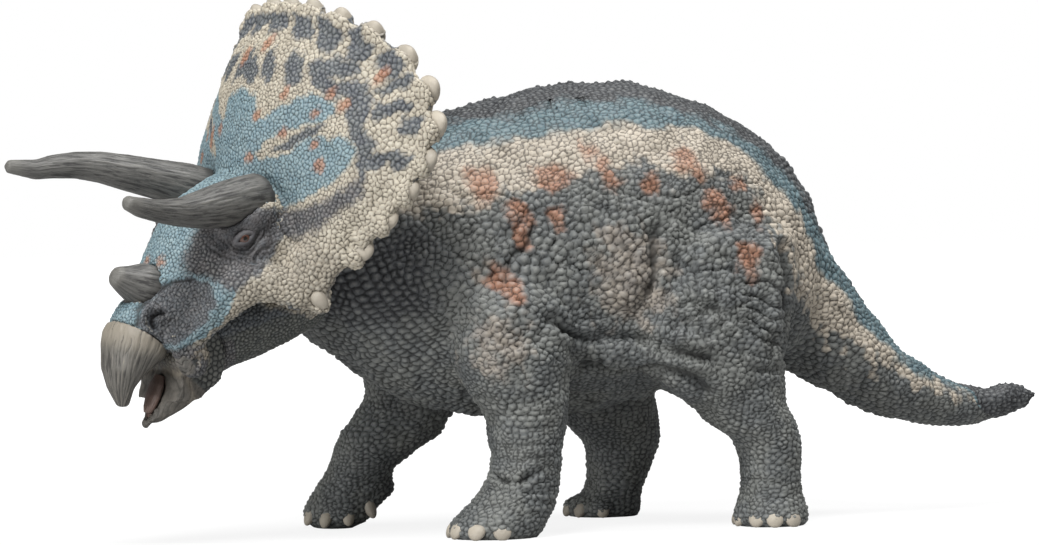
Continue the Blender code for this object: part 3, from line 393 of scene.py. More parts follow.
arm = np.minimum(np.hypot(p[:, 0] + 16, p[:, 1] + 20), np.hypot(p[:, 0] + 30, p[:, 1] - 28))
reach = np.hypot(p[:, 0] + 5, p[:, 2] - 85)
turn = np.degrees(np.arctan2(85 - p[:, 2], -(p[:, 0] + 5)))
chest = (reach > 44) & (turn > 14) & (turn < 86) & (arm > 15) & (p[:, 2] > 24)
flank = (p[:, 2] > 20).astype(float)
spacing = 1.30 + 0.22 * wobble(p, 12, 21)
spacing += 0.62 * bell(np.hypot(p[:, 0] + 14, p[:, 2] - 60), 17) * flank
spacing += 0.20 * bell(np.hypot(p[:, 0] - 8, p[:, 2] - 70), 12) * flank
spacing -= 0.28 * ramp(p[:, 2], 70, 82)
spacing -= 0.10 * ramp(34 - p[:, 2], 0, 16)
spacing -= 0.20 * ramp(-n[:, 2], 0.4, 0.85) * flank
spacing = np.where(p[:, 0] > 58, 1.50 - 0.6 * ramp(p[:, 0], 72, 126) + 0.15 * wobble(p, 8, 22), spacing)
spacing = np.where(chest, 1.9, spacing)
q = stretch(p)
some = slice(None, None, 3)
ridge = []
for x in np.arange(-56, 127, 2.3):
    row = np.flatnonzero(np.abs(p[:, 0] - x) < 0.4)
    if len(row):
        ridge.append(q[row[np.argmax(p[row, 2])]])
cells = grid_centres(q[chest], (turn[chest] + 0.8 * wobble(p[chest], 14, 6)) * 0.52,
                     np.arctan2(p[chest, 1] - MIDDLE_Y, reach[chest] - 30) * 13.0)
first = np.array(list(cells) + ridge)
centres = scatter_centres(q[some], spacing[some] * (0.95 + 0.22 * wobble(p[some], 3.5, 23)), first, 11)
centres = even_out(centres, q[some], len(first), 1)
rng = np.random.default_rng(4)
lift_of = rng.uniform(-1, 1, len(centres))
tone_of = rng.uniform(-1, 1, len(centres))
tilt_of = rng.normal(size=(len(centres), 3)) * 0.09
warped = q + np.stack([wobble(p, 1.7, 51), wobble(p, 1.7, 52), wobble(p, 1.7, 53)], 1) * 0.16
free = np.arange(len(centres)) >= len(first)
own, edge = find_scales(warped, centres, free * (0.20 * lift_of + 0.12 * tone_of))
half = mean_of(spacing, own, len(centres)) * 0.5
t = np.clip(edge / (0.95 * half[own]), 0, 1)
dome = np.sqrt(1 - (1 - t) ** 2)
crown = 1 - np.clip(np.linalg.norm(q - centres[own], axis=1) / (1.30 * half[own]), 0, 1) ** 2
dome = 0.60 * dome + 0.40 * crown           # a pebble: steep at its edge and still round on top
is_ridge = (own >= len(cells)) & (own < len(first))
height = 0.78 * half[own] * (1 + 0.35 * lift_of[own])
height = np.where(chest, 0.80 * half[own], height)
height *= 1 - 0.30 * ramp(p[:, 2], 76, 90) * (p[:, 0] < 55)
height = np.where(is_ridge, 0.85, height)
height *= ramp(p[:, 2], 0.3, 2.0)
relief = height * (dome - 0.35) + ((q - centres[own]) * tilt_of[own]).sum(1) * dome
p = p + n * relief[:, None]
p[:, 2] = np.maximum(p[:, 2], 0.02)
write(body.data, p)

# paint on the body: dark ridge, blue band, cream band, then slate, with rust-coloured spots; the ridge's dark
# coat also covers the neck under the frill as painted shade
BACK_LINE = ((-90, 84), (-45, 92), (-27, 95), (-13, 96.5), (-1, 99), (11, 100), (20, 100),
             (30, 98), (44, 92.5), (57, 84), (68, 68), (80, 53), (92, 41), (104, 32))
BLUE_LINE = ((-90, 78), (-45, 85), (-32, 88), (-18, 90.5), (2, 93.5), (20, 94.5), (31, 93),
             (42, 90), (53, 80.5), (60, 71), (64, 62), (71, 55), (79, 46.5), (88, 38.5), (96, 33),
             (108, 27.5))
CREAM_LINE = ((-90, 68), (-45, 74), (-34, 76), (-21, 76), (-16, 79.5), (-9, 80), (-1, 83.5),
              (7, 83.5), (12, 86), (20, 86), (23, 82.5), (30, 82.5), (36, 83.5), (44, 82), (48, 71),
              (53, 62), (59, 51), (67, 43), (79, 37), (88, 32.5), (96, 28.5), (108, 26.5))
SPOTS = ((-21.5, 81, 3.2, 4.4), (-5, 82.5, 4.0, 3.6), (4, 88, 1.8, 2.4), (7, 85, 2.2, 2.4),
         (9.5, 82, 1.8, 2.2), (28, 86.5, 3.6, 2.6), (31, 84, 1.8, 2.8), (18.5, 80.5, 2.4, 2.6),
         (-14.5, 74.5, 2.6, 2.8), (-13.8, 70, 2.7, 3.4), (-5, 73.5, 2.2, 2.4), (-20, 60, 2.4, 3.0),
         (-18, 56.5, 2.4, 2.4), (34, 76.5, 2.6, 2.8), (36, 73.5, 2.6, 2.6), (41, 62, 2.4, 3.4),
         (46, 73.5, 1.4, 2.0), (42, 80, 1.4, 1.6))
PATCHES = ((11.5, 60, 10, 11), (9, 66, 7, 6), (15, 53, 7, 5), (-21.5, 44.5, 7, 7.5), (-24, 62, 3, 3))
seen = 0.8 * p + 0.2 * unstretch(centres)[own]       # sprayed on, a little caught by each scale
flat = seen[:, [0, 2]] + np.stack([wobble(seen, 8, 8), wobble(seen, 8, 9)], 1) * 0.8
mottle = wobble(seen, 5, 10) + 0.6 * wobble(seen, 2.6, 16)
# the neck under the frill takes the ridge's dark slate: painted shade where the frill's shadow falls
neck_shade = np.minimum(np.minimum(-35 - flat[:, 0], 71 - flat[:, 1]), flat[:, 1] - 50) * 0.35
stamp(body.data, "back", np.maximum(beside(flat, BACK_LINE), neck_shade) + 0.4 * mottle)
stamp(body.data, "blue", beside(flat, BLUE_LINE) + 0.3 * mottle)
cream = np.minimum(beside(flat, CREAM_LINE), 112 - flat[:, 0])
cream -= 2.2 * ramp(flat[:, 0], 40, 50) * (0.6 + 1.3 * mottle)   # thinner and patchy down the tail
stamp(body.data, "cream", cream + 0.9 * mottle + 0.6 * tone_of[own])
spot = np.full(len(p), -9.0)
for x, z, a, b in SPOTS:
    spot = np.maximum(spot, (1 - np.hypot((flat[:, 0] - x) / a, (flat[:, 1] - z) / b)) * min(a, b))
stamp(body.data, "spot", spot * 0.9 + 0.35 * mottle + 0.25 * tone_of[own])
patch = np.full(len(p), -9.0)
for x, z, a, b in PATCHES:
    patch = np.maximum(patch, (1 - np.hypot((flat[:, 0] - x) / a, (flat[:, 1] - z) / b)) * min(a, b))
stamp(body.data, "patch", patch - 1.5 + 1.8 * mottle + 0.8 * tone_of[own])
crack = np.where(chest, 1.0, 0.95) * bell(edge, np.where(chest, 0.24, 0.17))
stamp(body.data, "crack", np.maximum(crack, crease))
stamp(body.data, "raised", dome * (1 - 0.7 * crease))
stamp(body.data, "tone", tone_of[own])


def rgb(r, g, b):
    """A colour as a paint chart gives it, 0 to 255."""
    return tuple(((c / 255 + 0.055) / 1.055) ** 2.4 if c > 10 else c / 255 / 12.92
                 for c in (r, g, b)) + (1,)


def noise_node(tree, source, scale, detail, roughness):
    node = tree.nodes.new("ShaderNodeTexNoise")
    for key, x in (("Scale", scale), ("Detail", detail), ("Roughness", roughness)):
        node.inputs[key].default_value = x
    tree.links.new(source, node.inputs["Vector"])
    return node.outputs[0]


def range_node(tree, value, low, high, to_low=0.0, to_high=1.0):
    """Eases a value that runs from low to high into one from to_low to to_high."""
    node = tree.nodes.new("ShaderNodeMapRange")
    node.interpolation_type = "SMOOTHSTEP"
    tree.links.new(value, node.inputs["Value"])
    for key, x in (("From Min", low), ("From Max", high), ("To Min", to_low), ("To Max", to_high)):
        node.inputs[key].default_value = x
    return node.outputs[0]


def blend_node(tree, share, a, b, how="MIX"):
    """Lays colour b over colour a by a share; any of the three may be a plain value."""
    node = tree.nodes.new("ShaderNodeMix")
    node.data_type = "RGBA"
    node.blend_type = how
    for socket, value in ((node.inputs[0], share), (node.inputs[6], a), (node.inputs[7], b)):
        if isinstance(value, (int, float, tuple)):
            socket.default_value = value
        else:
            tree.links.new(value, socket)
    return node.outputs[2]


def stamped(tree, attribute):
    """A number that stamp() kept, as the paint reads it."""
    node = tree.nodes.new("ShaderNodeAttribute")
    node.attribute_name = attribute
    return node.outputs["Fac"]


def bump_node(tree, height, strength, distance, shader):
    bump = tree.nodes.new("ShaderNodeBump")
    bump.inputs["Strength"].default_value = strength
    bump.inputs["Distance"].default_value = distance
    tree.links.new(height, bump.inputs["Height"])
    tree.links.new(bump.outputs[0], shader.inputs["Normal"])


def painted(name, ground, coats, wash, brush, brush_share=0.35, wash_share=0.85, grain=0.0009,
            rough=0.6):
    """Vinyl paint: a ground of two close tones, coats that fade at their stamped edges, a thin
    dark wash that stays in the cracks and a pale dry brush over the tops."""
    paint = bpy.data.materials.new(name)
    paint.use_nodes = True
    tree = paint.node_tree
    nodes, links = tree.nodes, tree.links
    nodes.clear()
    out = nodes.new("ShaderNodeOutputMaterial")
    shader = nodes.new("ShaderNodeBsdfPrincipled")
    links.new(shader.outputs[0], out.inputs[0])
    where = nodes.new("ShaderNodeTexCoord")

    def noise(scale, detail, roughness=0.6):
        return noise_node(tree, where.outputs["Object"], scale, detail, roughness)

    def math_node(kind, a, b, c=None):
        node = nodes.new("ShaderNodeMath")
        node.operation = kind
        for socket, value in zip(node.inputs, (a, b, c)):
            if value is None:
                continue
            if isinstance(value, (int, float)):
                socket.default_value = value
            else:
                links.new(value, socket)
        return node.outputs[0]

    brushed = math_node("SUBTRACT", noise(1500, 4), 0.5)          # brush marks under a millimetre
    colour = blend_node(tree, range_node(tree, noise(110, 3), 0.38, 0.62), ground[0], ground[1])
    for attribute, tints, softness, ragged in coats:
        level = math_node("MULTIPLY_ADD", brushed, ragged, stamped(tree, attribute))
        clouds = range_node(tree, noise(300 + 37 * len(attribute), 3), 0.35, 0.65)
        tint = blend_node(tree, clouds, tints[0], tints[1])
        share = range_node(tree, level, -softness, softness)
        if len(tints) > 2:                                        # a coat thinned by this share
            share = math_node("MULTIPLY", share, tints[2])
        colour = blend_node(tree, share, colour, tint)
    tone = math_node("MULTIPLY_ADD", stamped(tree, "tone"), 0.10, 1.0)
    shaded = nodes.new("ShaderNodeVectorMath")
    shaded.operation = "SCALE"
    links.new(colour, shaded.inputs[0])
    links.new(tone, shaded.inputs["Scale"])
    tops = math_node("MULTIPLY_ADD", brushed, 0.5, stamped(tree, "raised"))
    tops = math_node("MULTIPLY", range_node(tree, tops, 0.72, 1.1), brush_share)
    colour = blend_node(tree, tops, shaded.outputs[0], brush)
    cracks = math_node("MULTIPLY_ADD", brushed, 0.35, stamped(tree, "crack"))
    cracks = math_node("MULTIPLY", range_node(tree, cracks, 0.15, 0.85), wash_share)
    colour = blend_node(tree, cracks, colour, wash, "MULTIPLY")
    links.new(colour, shader.inputs["Base Color"])
    links.new(range_node(tree, noise(420, 4), 0.3, 0.7, rough - 0.1, rough + 0.14),
              shader.inputs["Roughness"])
    shader.inputs["IOR"].default_value = 1.42                     # of clear lacquer
    bump_node(tree, noise(1 / grain, 5, 0.65), 0.6, 0.00016, shader)
    return paint


SLATE, SLATE_2 = rgb(93, 96, 96), rgb(106, 108, 105)
BLUE, BLUE_2 = rgb(87, 107, 114), rgb(98, 118, 123)
CREAM, CREAM_2 = rgb(184, 174, 159), rgb(166, 157, 143)
RUST, RUST_2 = rgb(150, 102, 76), rgb(156, 114, 90)
# dark slate of the ridge along the back, also laid on the neck under the frill as painted shade
BARK, BARK_2 = rgb(77, 79, 81), rgb(67, 69, 72)
TAN, TAN_2 = rgb(168, 155, 140), rgb(146, 136, 126)
hide_paint = painted("body_paint", (SLATE, SLATE_2),
                     (("cream", (CREAM, CREAM_2), 1.7, 1.6), ("blue", (BLUE, BLUE_2), 1.1, 1.0),
                      ("back", (BARK, BARK_2), 1.4, 1.2), ("patch", (TAN, TAN_2, 0.52), 3.0, 2.2),
                      ("spot", (RUST, RUST_2, 0.80), 1.2, 1.6)),
                     rgb(124, 123, 123), rgb(180, 180, 174), 0.24)
body.data.materials.append(hide_paint)


def join_strays(part, own, pairs):
    """Gives each stray patch of scales to the piece round it, so that every piece is whole."""
    part = part.copy()
    a, b = own[pairs[:, 0]], own[pairs[:, 1]]
    links = np.unique(np.sort(np.stack([a, b], 1)[a != b], axis=1), axis=0).tolist()
    for _ in range(6):
        root = list(range(len(part)))

        def top(i):
            while root[i] != i:
                root[i] = root[root[i]]
                i = root[i]
            return i

        for i, j in links:
            if part[i] == part[j]:
                root[top(i)] = top(j)
        roots = np.array([top(i) for i in range(len(part))])
        size = np.bincount(roots, minlength=len(part))
        best = {k: max(set(roots[part == k].tolist()), key=lambda r: size[r])
                for k in set(part.tolist())}
        stray = np.array([roots[i] != best[part[i]] for i in range(len(part))])
        stray &= np.bincount(own, minlength=len(part)) > 0
        if not stray.any():
            break
        for i, j in links:
            if stray[i] != stray[j]:
                i, j = (i, j) if stray[i] else (j, i)
                part[i], stray[i] = part[j], False
    return part


def walk_rings(onward):
    """Joins open edges, given as corner to next corners, into closed rings."""
    rings = []
    while onward:
        ring = [next(iter(onward))]
        while True:
            ways = onward[ring[-1]]
            step = ways.pop()
            if not ways:
                del onward[ring[-1]]
            if step == ring[0]:
                break
            if step in ring:                        # a figure of eight: close the loop just walked
                start = ring.index(step)
                rings.append(ring[start:])
                ring = ring[:start + 1]
            else:
                ring.append(step)
        if len(ring) > 2:
            rings.append(ring)
    return rings


WALL_SPREAD = 15            # corners each way over which the direction of a cut's wall is evened


def cut_apart(skin, part, names, recess):
    """Cuts a skin along its cracks into one closed piece per name; part tells each vertex's
    piece. At a cut the skin turns in by the recess and is closed there by a thin wall across,
    out of sight where the pieces meet."""
    mesh = skin.data
    places, normals = read(mesh), read(mesh, "normal")
    corners = np.empty(len(mesh.loops), np.int32)
    mesh.loops.foreach_get("vertex_index", corners)
    quads = corners.reshape(-1, 4)
    whose = part[quads[:, 0]]
    stamps = {}
    for item in mesh.attributes:
        if item.domain == "POINT" and item.data_type == "FLOAT":
            values = np.empty(len(places), np.float32)
            item.data.foreach_get("value", values)
            stamps[item.name] = values
    pieces = {}
    for k, name in enumerate(names):
        used, flat_index = np.unique(quads[whose == k], return_inverse=True)
        faces = flat_index.reshape(-1, 4)
        a, b = faces.ravel().astype(np.int64), np.roll(faces, -1, 1).ravel().astype(np.int64)
        open_edge = ~np.isin(a * len(used) + b, b * len(used) + a)
        onward = {}
        for x, y in zip(b[open_edge].tolist(), a[open_edge].tolist()):
            onward.setdefault(x, []).append(y)
        walls, extra, places_in = [], [], []        # faces, what each new vertex copies, its place
        for ring in walk_rings(onward):             # the cut runs a little way in, then closes
            count, first = len(ring), len(used) + len(extra)
            around, reach = normals[used[ring]], min(WALL_SPREAD, len(ring) // 2)
            lean = sum(np.roll(around, shift, 0) for shift in range(-reach, reach + 1))
            inner = places[used[ring]] - lean / np.linalg.norm(lean, axis=1)[:, None] * recess
            walls += [(ring[i - 1], ring[i], first + i, first + (i - 1) % count)
                      for i in range(count)]
            facing = Vector(np.cross(inner, np.roll(inner, -1, 0)).sum(0)).normalized()
            across = facing.orthogonal().normalized()
            plane = np.array((across, facing.cross(across), facing))
            level = inner @ plane.T
            spots, _, tris, origin, _, _ = geometry.delaunay_2d_cdt(
                [Vector(spot) for spot in level[:, :2].tolist()],
                [(i, (i + 1) % count) for i in range(count)], [], 1, 1e-5)
            index = []
            for spot, olds in zip(spots, origin):
                if not olds:                        # the ring crosses itself here
                    crossing = np.array((spot.x, spot.y, level[:, 2].mean()))
                    inner = np.vstack([inner, crossing @ plane])
                index.append(first + (olds[0] if olds else len(inner) - 1))
            walls += [tuple(index[corner] for corner in tri) for tri in tris]
            extra += used[ring].tolist() + [int(used[ring[0]])] * (len(inner) - count)
            places_in += inner.tolist()
        sources = np.concatenate([used, np.array(extra, int)])
        points = np.vstack([places[used], np.array(places_in).reshape(-1, 3)])
        new = bpy.data.meshes.new(name)
        new.from_pydata((points / 1000).tolist(), [], faces.tolist() + walls)
        new.polygons.foreach_set("use_smooth", [True] * len(faces) + [False] * len(walls))
        for label, values in stamps.items():
            stamp(new, label, values[sources])
        new.normals_split_custom_set_from_vertices(normals[sources].tolist())
        for paint in mesh.materials:
            new.materials.append(paint)
        pieces[name] = show(name, new)
    bpy.data.objects.remove(skin, do_unlink=True)
    return pieces


# the casting seams run along the cracks: four parts of trunk, the tail and the four legs
NODES = ("torso", "tail", "front_left_leg", "front_right_leg", "hind_left_leg", "hind_right_leg")
PIECES = ("trunk_skin_front_left", "tail_skin", "front_left_leg_skin", "front_right_leg_skin",
          "hind_left_leg_skin", "hind_right_leg_skin", "trunk_skin_front_right",
          "trunk_skin_rear_left", "trunk_skin_rear_right")
SPLIT_X, TORSO_LEAD, BODY_RECESS = 4, 0.3, 2.8      # trunk's cut; how near a limb's scale has to be
real = unstretch(centres)
gaps = np.empty((len(NODES), len(real)))
for k, node in enumerate(NODES):
    solid = frame["nodes"][node]
    tree = bvhtree.BVHTree.FromPolygons([solid.matrix_world @ v.co for v in solid.data.vertices],
                                        [tuple(f.vertices) for f in solid.data.polygons])
    gaps[k] = [tree.find_nearest(Vector(c / 1000))[3] * 1000 for c in real]
part = np.argmin(gaps, axis=0)
part[(part > 1) & (gaps[part, np.arange(len(part))] > gaps[0] - TORSO_LEAD)] = 0
torso = part == 0
part[torso & (real[:, 1] > MIDDLE_Y) & (real[:, 0] < SPLIT_X)] = 6
part[torso & (real[:, 1] <= MIDDLE_Y) & (real[:, 0] >= SPLIT_X)] = 7
part[torso & (real[:, 1] > MIDDLE_Y) & (real[:, 0] >= SPLIT_X)] = 8
part = join_strays(part, own, edges_of(body.data))
for name, piece in cut_apart(body, part[own], PIECES, BODY_RECESS).items():
    k = PIECES.index(name)
    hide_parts(NODES[k] if k < 6 else "torso")
    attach(piece, "figure")

# ---------------------------------------------------------------------------------------------
# Head skin: the skull with its frill, cast in one piece and glued on at the neck, turned to
# the figure's left with the nose down. It carries the finest scales and the finest brushwork.
# Sizes in this section are in millimetres, in the head's own axes: forward, left and up.
# ---------------------------------------------------------------------------------------------
hinge = frame["joints"][0]
TURNED, NOSE_DOWN = math.radians(14), math.radians(25)
HINGE_AHEAD, HINGE_UP = 61.5, 0.4           # where the jaw's pin lies in the head's own axes
LEFT = -np.array(hinge["axis"])
heading = np.array((-math.cos(TURNED), -math.sin(TURNED), 0.0))
FORWARD = heading * math.cos(NOSE_DOWN) - np.array((0, 0, math.sin(NOSE_DOWN)))
CROWN = np.cross(FORWARD, LEFT)
HEAD = np.array(hinge["pos_m"]) * 1000 - FORWARD * HINGE_AHEAD - CROWN * HINGE_UP
AXES = np.stack([FORWARD, LEFT, CROWN])


def in_head(points):
    return (points - HEAD) @ AXES.T


head = cast_skin("head_skin", ("head_shell",), 0.57, 34, 1, 0.20)
p = read(head.data)
n = read(head.data, "normal")
h = in_head(p)
hn = n @ AXES.T
side = np.abs(h[:, 1])
both = np.stack([h[:, 0], side, h[:, 2]], 1)          # left and right folded onto each other


def inside(flat, outline):
    """Distance of flat points from a closed outline, positive inside it."""
    outline = np.array(outline, float)
    best = np.full(len(flat), 1e9)
    odd = np.zeros(len(flat), bool)
    for a, b in zip(outline, np.roll(outline, -1, 0)):
        run = b - a
        t = np.clip(((flat - a) @ run) / (run @ run), 0, 1)
        best = np.minimum(best, np.hypot(*(flat - a - t[:, None] * run).T))
        crosses = (a[1] > flat[:, 1]) != (b[1] > flat[:, 1])
        odd ^= crosses & (flat[:, 0] < a[0] + (flat[:, 1] - a[1]) / (run[1] + 1e-12) * run[0])
    return np.where(odd, best, -best)


# the rim of the frill: it reaches out between its knobs, and runs into ridges from knob to hub
RIM = ((25.2, 32.3, 10.7), (18.9, 36.8, 15.5), (13.0, 40.5, 20.0), (7.4, 42.9, 24.6),
       (1.9, 43.5, 30.8), (-1.8, 40.1, 37.7), (-4.2, 33.5, 44.8), (-3.2, 25.4, 51.2),
       (-1.3, 17.4, 55.1), (-0.7, 8.2, 57.4), (-0.2, 0.0, 58.0))
HUB_UP = 20                                 # the ridges run from the knobs to this height
rim_line = np.array(RIM)
rim_far, rim_share = along(both, RIM)
place = rim_share * (len(RIM) - 1)
low = np.clip(place.astype(int), 0, len(RIM) - 2)
nearest = rim_line[low] + (rim_line[low + 1] - rim_line[low]) * (place - low)[:, None]
away = np.stack([0 * side, both[:, 1], both[:, 2] - HUB_UP], 1)
away /= np.linalg.norm(away, axis=1)[:, None]
beyond = ((both - nearest) * away).sum(1)
hub = np.hypot(side, h[:, 2] - HUB_UP)
on_rim = bell(rim_far, 3.4) * (h[:, 0] < 24)
mirrored = np.stack([np.ones(len(p)), np.sign(h[:, 1]), np.ones(len(p))], 1)
grow_out = (1.5 * on_rim)[:, None] * (away * mirrored) @ AXES
front_face = hn[:, 0] > 0
sculpt = (0.38 * np.cos(place * 2 * math.pi) * ramp(rim_far, 0.5, 2.5) * ramp(14 - rim_far, 0, 9)
          * (h[:, 0] < 26) * front_face)
sculpt -= 0.3 * bell(rim_far - 3.2, 1.2) * (h[:, 0] < 24) * front_face
crease = np.zeros(len(p))

# the smooth hollow round the nostril, with a sharp brow along its top and the nostril's slit
HOLLOW = ((68.5, 12.5), (66, 15.5), (62, 17.6), (58.5, 18.2), (54.8, 17.8), (52.7, 15.8),
          (53.7, 12.5), (56, 9.3), (59.2, 7), (63, 6), (66.5, 6.5), (68.5, 9))
profile = h[:, [0, 2]]
hollow = np.where(side > 2, inside(profile, HOLLOW), -9.0)
sculpt -= 1.0 * ramp(hollow, -0.3, 2.6) - 0.35 * bell(hollow + 0.8, 0.7)
brow = beside(profile, ((69, 12.6), (66.4, 15.4), (62, 17.4), (58, 18.2), (54, 17.4)))
sculpt -= 0.7 * bell(brow, 0.5) * (side > 2) * (hollow > -2)
crease = np.maximum(crease, 0.8 * bell(brow, 0.4) * (hollow > -2) * (side > 2))
for level, deep in ((1.6, 0.16), (2.7, 0.16), (3.7, 0.14)):
    sculpt -= deep * bell(hollow - level + 0.3 * wobble(h, 4, 41), 0.24)
slit = beside(profile, ((63.2, 13.4), (64.6, 13.8), (65.8, 13.2), (66.5, 12.1), (66.5, 11.0)))
slit = slit * (1 + 5 * (side < 3))          # it doesn't meet its fellow over the nose
sculpt -= 1.5 * bell(slit, 0.55) * (side > 3)
sculpt += 0.7 * bell(np.hypot(profile[:, 0] - 64.4, profile[:, 1] - 12.1), 1.0) * (side > 3)
sculpt += 0.35 * bell(np.abs(slit) - 1.35, 0.5) * (side > 3)
crease = np.maximum(crease, bell(slit, 0.5) * (side > 3))

# folds round the eye, mostly below it, and the loose brow over it
EYE_AHEAD, EYE_UP = 41.1, 22.1
eye = np.hypot(h[:, 0] - EYE_AHEAD, h[:, 2] - EYE_UP) + 0.4 * wobble(h, 6, 42)
near_eye = (side > 9) * ramp(-(h[:, 2] - 22.8), -1.5, 2.0)
for ring, deep in ((2.9, 0.30), (3.9, 0.36), (5.2, 0.30), (6.4, 0.2)):
    wave = bell(eye * (1 + 0.10 * np.sin(h[:, 0])) - ring, 0.36) * near_eye
    sculpt -= deep * wave
    sculpt += 0.6 * deep * bell(eye - ring - 0.75, 0.4) * near_eye
    crease = np.maximum(crease, 0.7 * wave)
furrow = beside(profile, ((31.5, 22.5), (32.6, 19.5), (32.2, 16.6)))
sculpt -= 0.5 * bell(furrow, 0.45) * (side > 12)
pin_end = np.hypot(profile[:, 0] - HINGE_AHEAD, profile[:, 1] - HINGE_UP)
sculpt += 0.9 * bell(pin_end, 2.2) * (side > 8)
crease = np.maximum(crease, 0.7 * bell(furrow, 0.4) * (side > 12))
p = p + n * sculpt[:, None] + grow_out
write(head.data, p)
n = read(head.data, "normal")
h = in_head(p)
hn = n @ AXES.T
side = np.abs(h[:, 1])
eye = np.hypot(h[:, 0] - EYE_AHEAD, h[:, 2] - EYE_UP) + 9 * (side < 9)

# the knobs of the rim: where each stands, its outward and sideways directions and half sizes
KNOBS = []
for hand in (1, -1):
    for i, place in enumerate(RIM[:len(RIM) if hand > 0 else -1]):
        before, after = np.array(RIM[max(i - 1, 0)]), np.array(RIM[min(i + 1, len(RIM) - 1)])
        if i == len(RIM) - 1:
            after = before * (1, -1, 1)
        outward = np.array((0.0, place[1] * hand, place[2] - HUB_UP))
        outward /= np.linalg.norm(outward)
        outward[0] = -0.10
        back, out = (2.4, 0.5) if i < 6 else (1.5, 0.2)
        KNOBS.append((np.array(place) * (1, hand, 1) - (back, 0, 0) + outward * out,
                      outward, (after - before) * (1, hand, 1),
                      (3.35, 2.2, 3.25) if i < 7 else (3.0, 2.2, 3.2)))
    KNOBS.append((np.array((34.9, 27.7 * hand, 3.4)), np.array((-0.1, 0.55 * hand, -0.85)),
                  np.array((1.0, 0, 0)), (1.8, 1.7, 2.4)))       # at the tip of the cheek
knob = np.full(len(p), 9.0)
for place, outward, sideways, size in KNOBS:
    z = outward / np.linalg.norm(outward)
    x = sideways - z * (sideways @ z)
    x /= np.linalg.norm(x)
    gap = h - place
    knob = np.minimum(knob, np.sqrt((gap @ x / size[0]) ** 2 + (gap @ np.cross(z, x) / size[1]) ** 2
                                    + (gap @ z / size[2]) ** 2))
knob = np.where((beyond > 0.5) | (h[:, 0] > 30), knob, 9.0)
spacing = np.full(len(p), 0.84)
spacing += 0.34 * ramp(hub, 28, 40) * (h[:, 0] < 36)
spacing += 0.24 * (h[:, 0] > 24) * (h[:, 2] < 16) * (side > 16) * (h[:, 0] < 52)
spacing -= 0.18 * bell(eye, 6) + 0.12 * ramp(hollow, -1.5, 0)
spacing = np.maximum(spacing, 0.66)
q = p + n * 0.5                             # keeps the two faces of the thin frill apart
some = slice(None, None, 2)
spread = 1 + 0.14 * wobble(p[some], 2.6, 24)
centres = scatter_centres(q[some], spacing[some] * spread, (), 21)
centres = even_out(centres, q[some], 0, 1)
lift_of = rng.uniform(-1, 1, len(centres))
tone_of = rng.uniform(-1, 1, len(centres))
warped = q + np.stack([wobble(p, 1.3, 51), wobble(p, 1.3, 52), wobble(p, 1.3, 53)], 1) * 0.09
own, edge = find_scales(warped, centres, 0.08 * lift_of)
half = mean_of(spacing, own, len(centres)) * 0.5
t = np.clip(edge / (0.90 * half[own]), 0, 1)
dome = 0.8 * np.sqrt(1 - (1 - t) ** 2) + 0.2 * t
BEAK_BACK = ((72, 8), (69.5, 5.9), (64.4, 2.7), (62.4, 1.2), (62.6, -0.6), (66.4, -4.3), (70, -7),
             (76, 0))
horn_edge = inside(h[:, [0, 2]], BEAK_BACK)
smooth_skin = 0.05 * ramp(hollow, -1.0, 0.6) + 0.5 * bell(eye, 5.0) + 1.3 * ramp(horn_edge, -0.3, 0.4)
smooth_skin = np.clip(smooth_skin, 0, 1)
height = 0.86 * half[own] * (1 + 0.30 * lift_of[own]) * (1 - 0.80 * smooth_skin)
sunk = 0.5 * ramp(1.25 - knob, 0.0, 0.3)
strand = np.abs(np.sin((h[:, 2] + 0.35 * h[:, 0]) * 2.6 + 1.2 * wobble(h, 3, 44)))
sunk += 0.14 * bell(strand, 0.35) * ramp(horn_edge, 0.0, 0.4)
p = p + n * (height * (dome - 0.4) * (1 - ramp(1.2 - knob, 0, 0.2)) - sunk)[:, None]
write(head.data, p)

# paint on the head. The frill's front is cream, with a blue field of three lobes on each side,
# dark blotches towards its rim and a dusky cheek. Outlines in millimetres: on the frill to the
# left and up, on the face forward and up
BLUE_FIELD = ((-1, 47), (2.1, 46.6), (5.5, 45.8), (6.5, 43.5), (5.9, 41.9), (7.1, 41.1),
              (10.1, 41.9), (13.6, 43.4), (16.5, 43.9), (19.3, 43.8), (21.8, 43.0), (24.2, 41.5),
              (25.5, 40.0), (25.4, 38.9), (23.0, 38.6), (19.5, 38.4), (14.7, 38.2), (11.7, 37.3),
              (9.5, 36.0), (8.0, 34.6), (9.9, 33.5), (13.3, 33.3), (17.4, 34.3), (19.2, 35.4),
              (21.4, 35.8), (25.9, 34.7), (29.5, 34.1), (31.5, 32.7), (32.2, 31.0), (31.8, 29.3),
              (31.2, 27.6), (30.0, 26.9), (27.6, 25.8), (24.4, 24.8), (20.9, 24.3), (17.7, 23.2),
              (10, 18), (-1, 18))
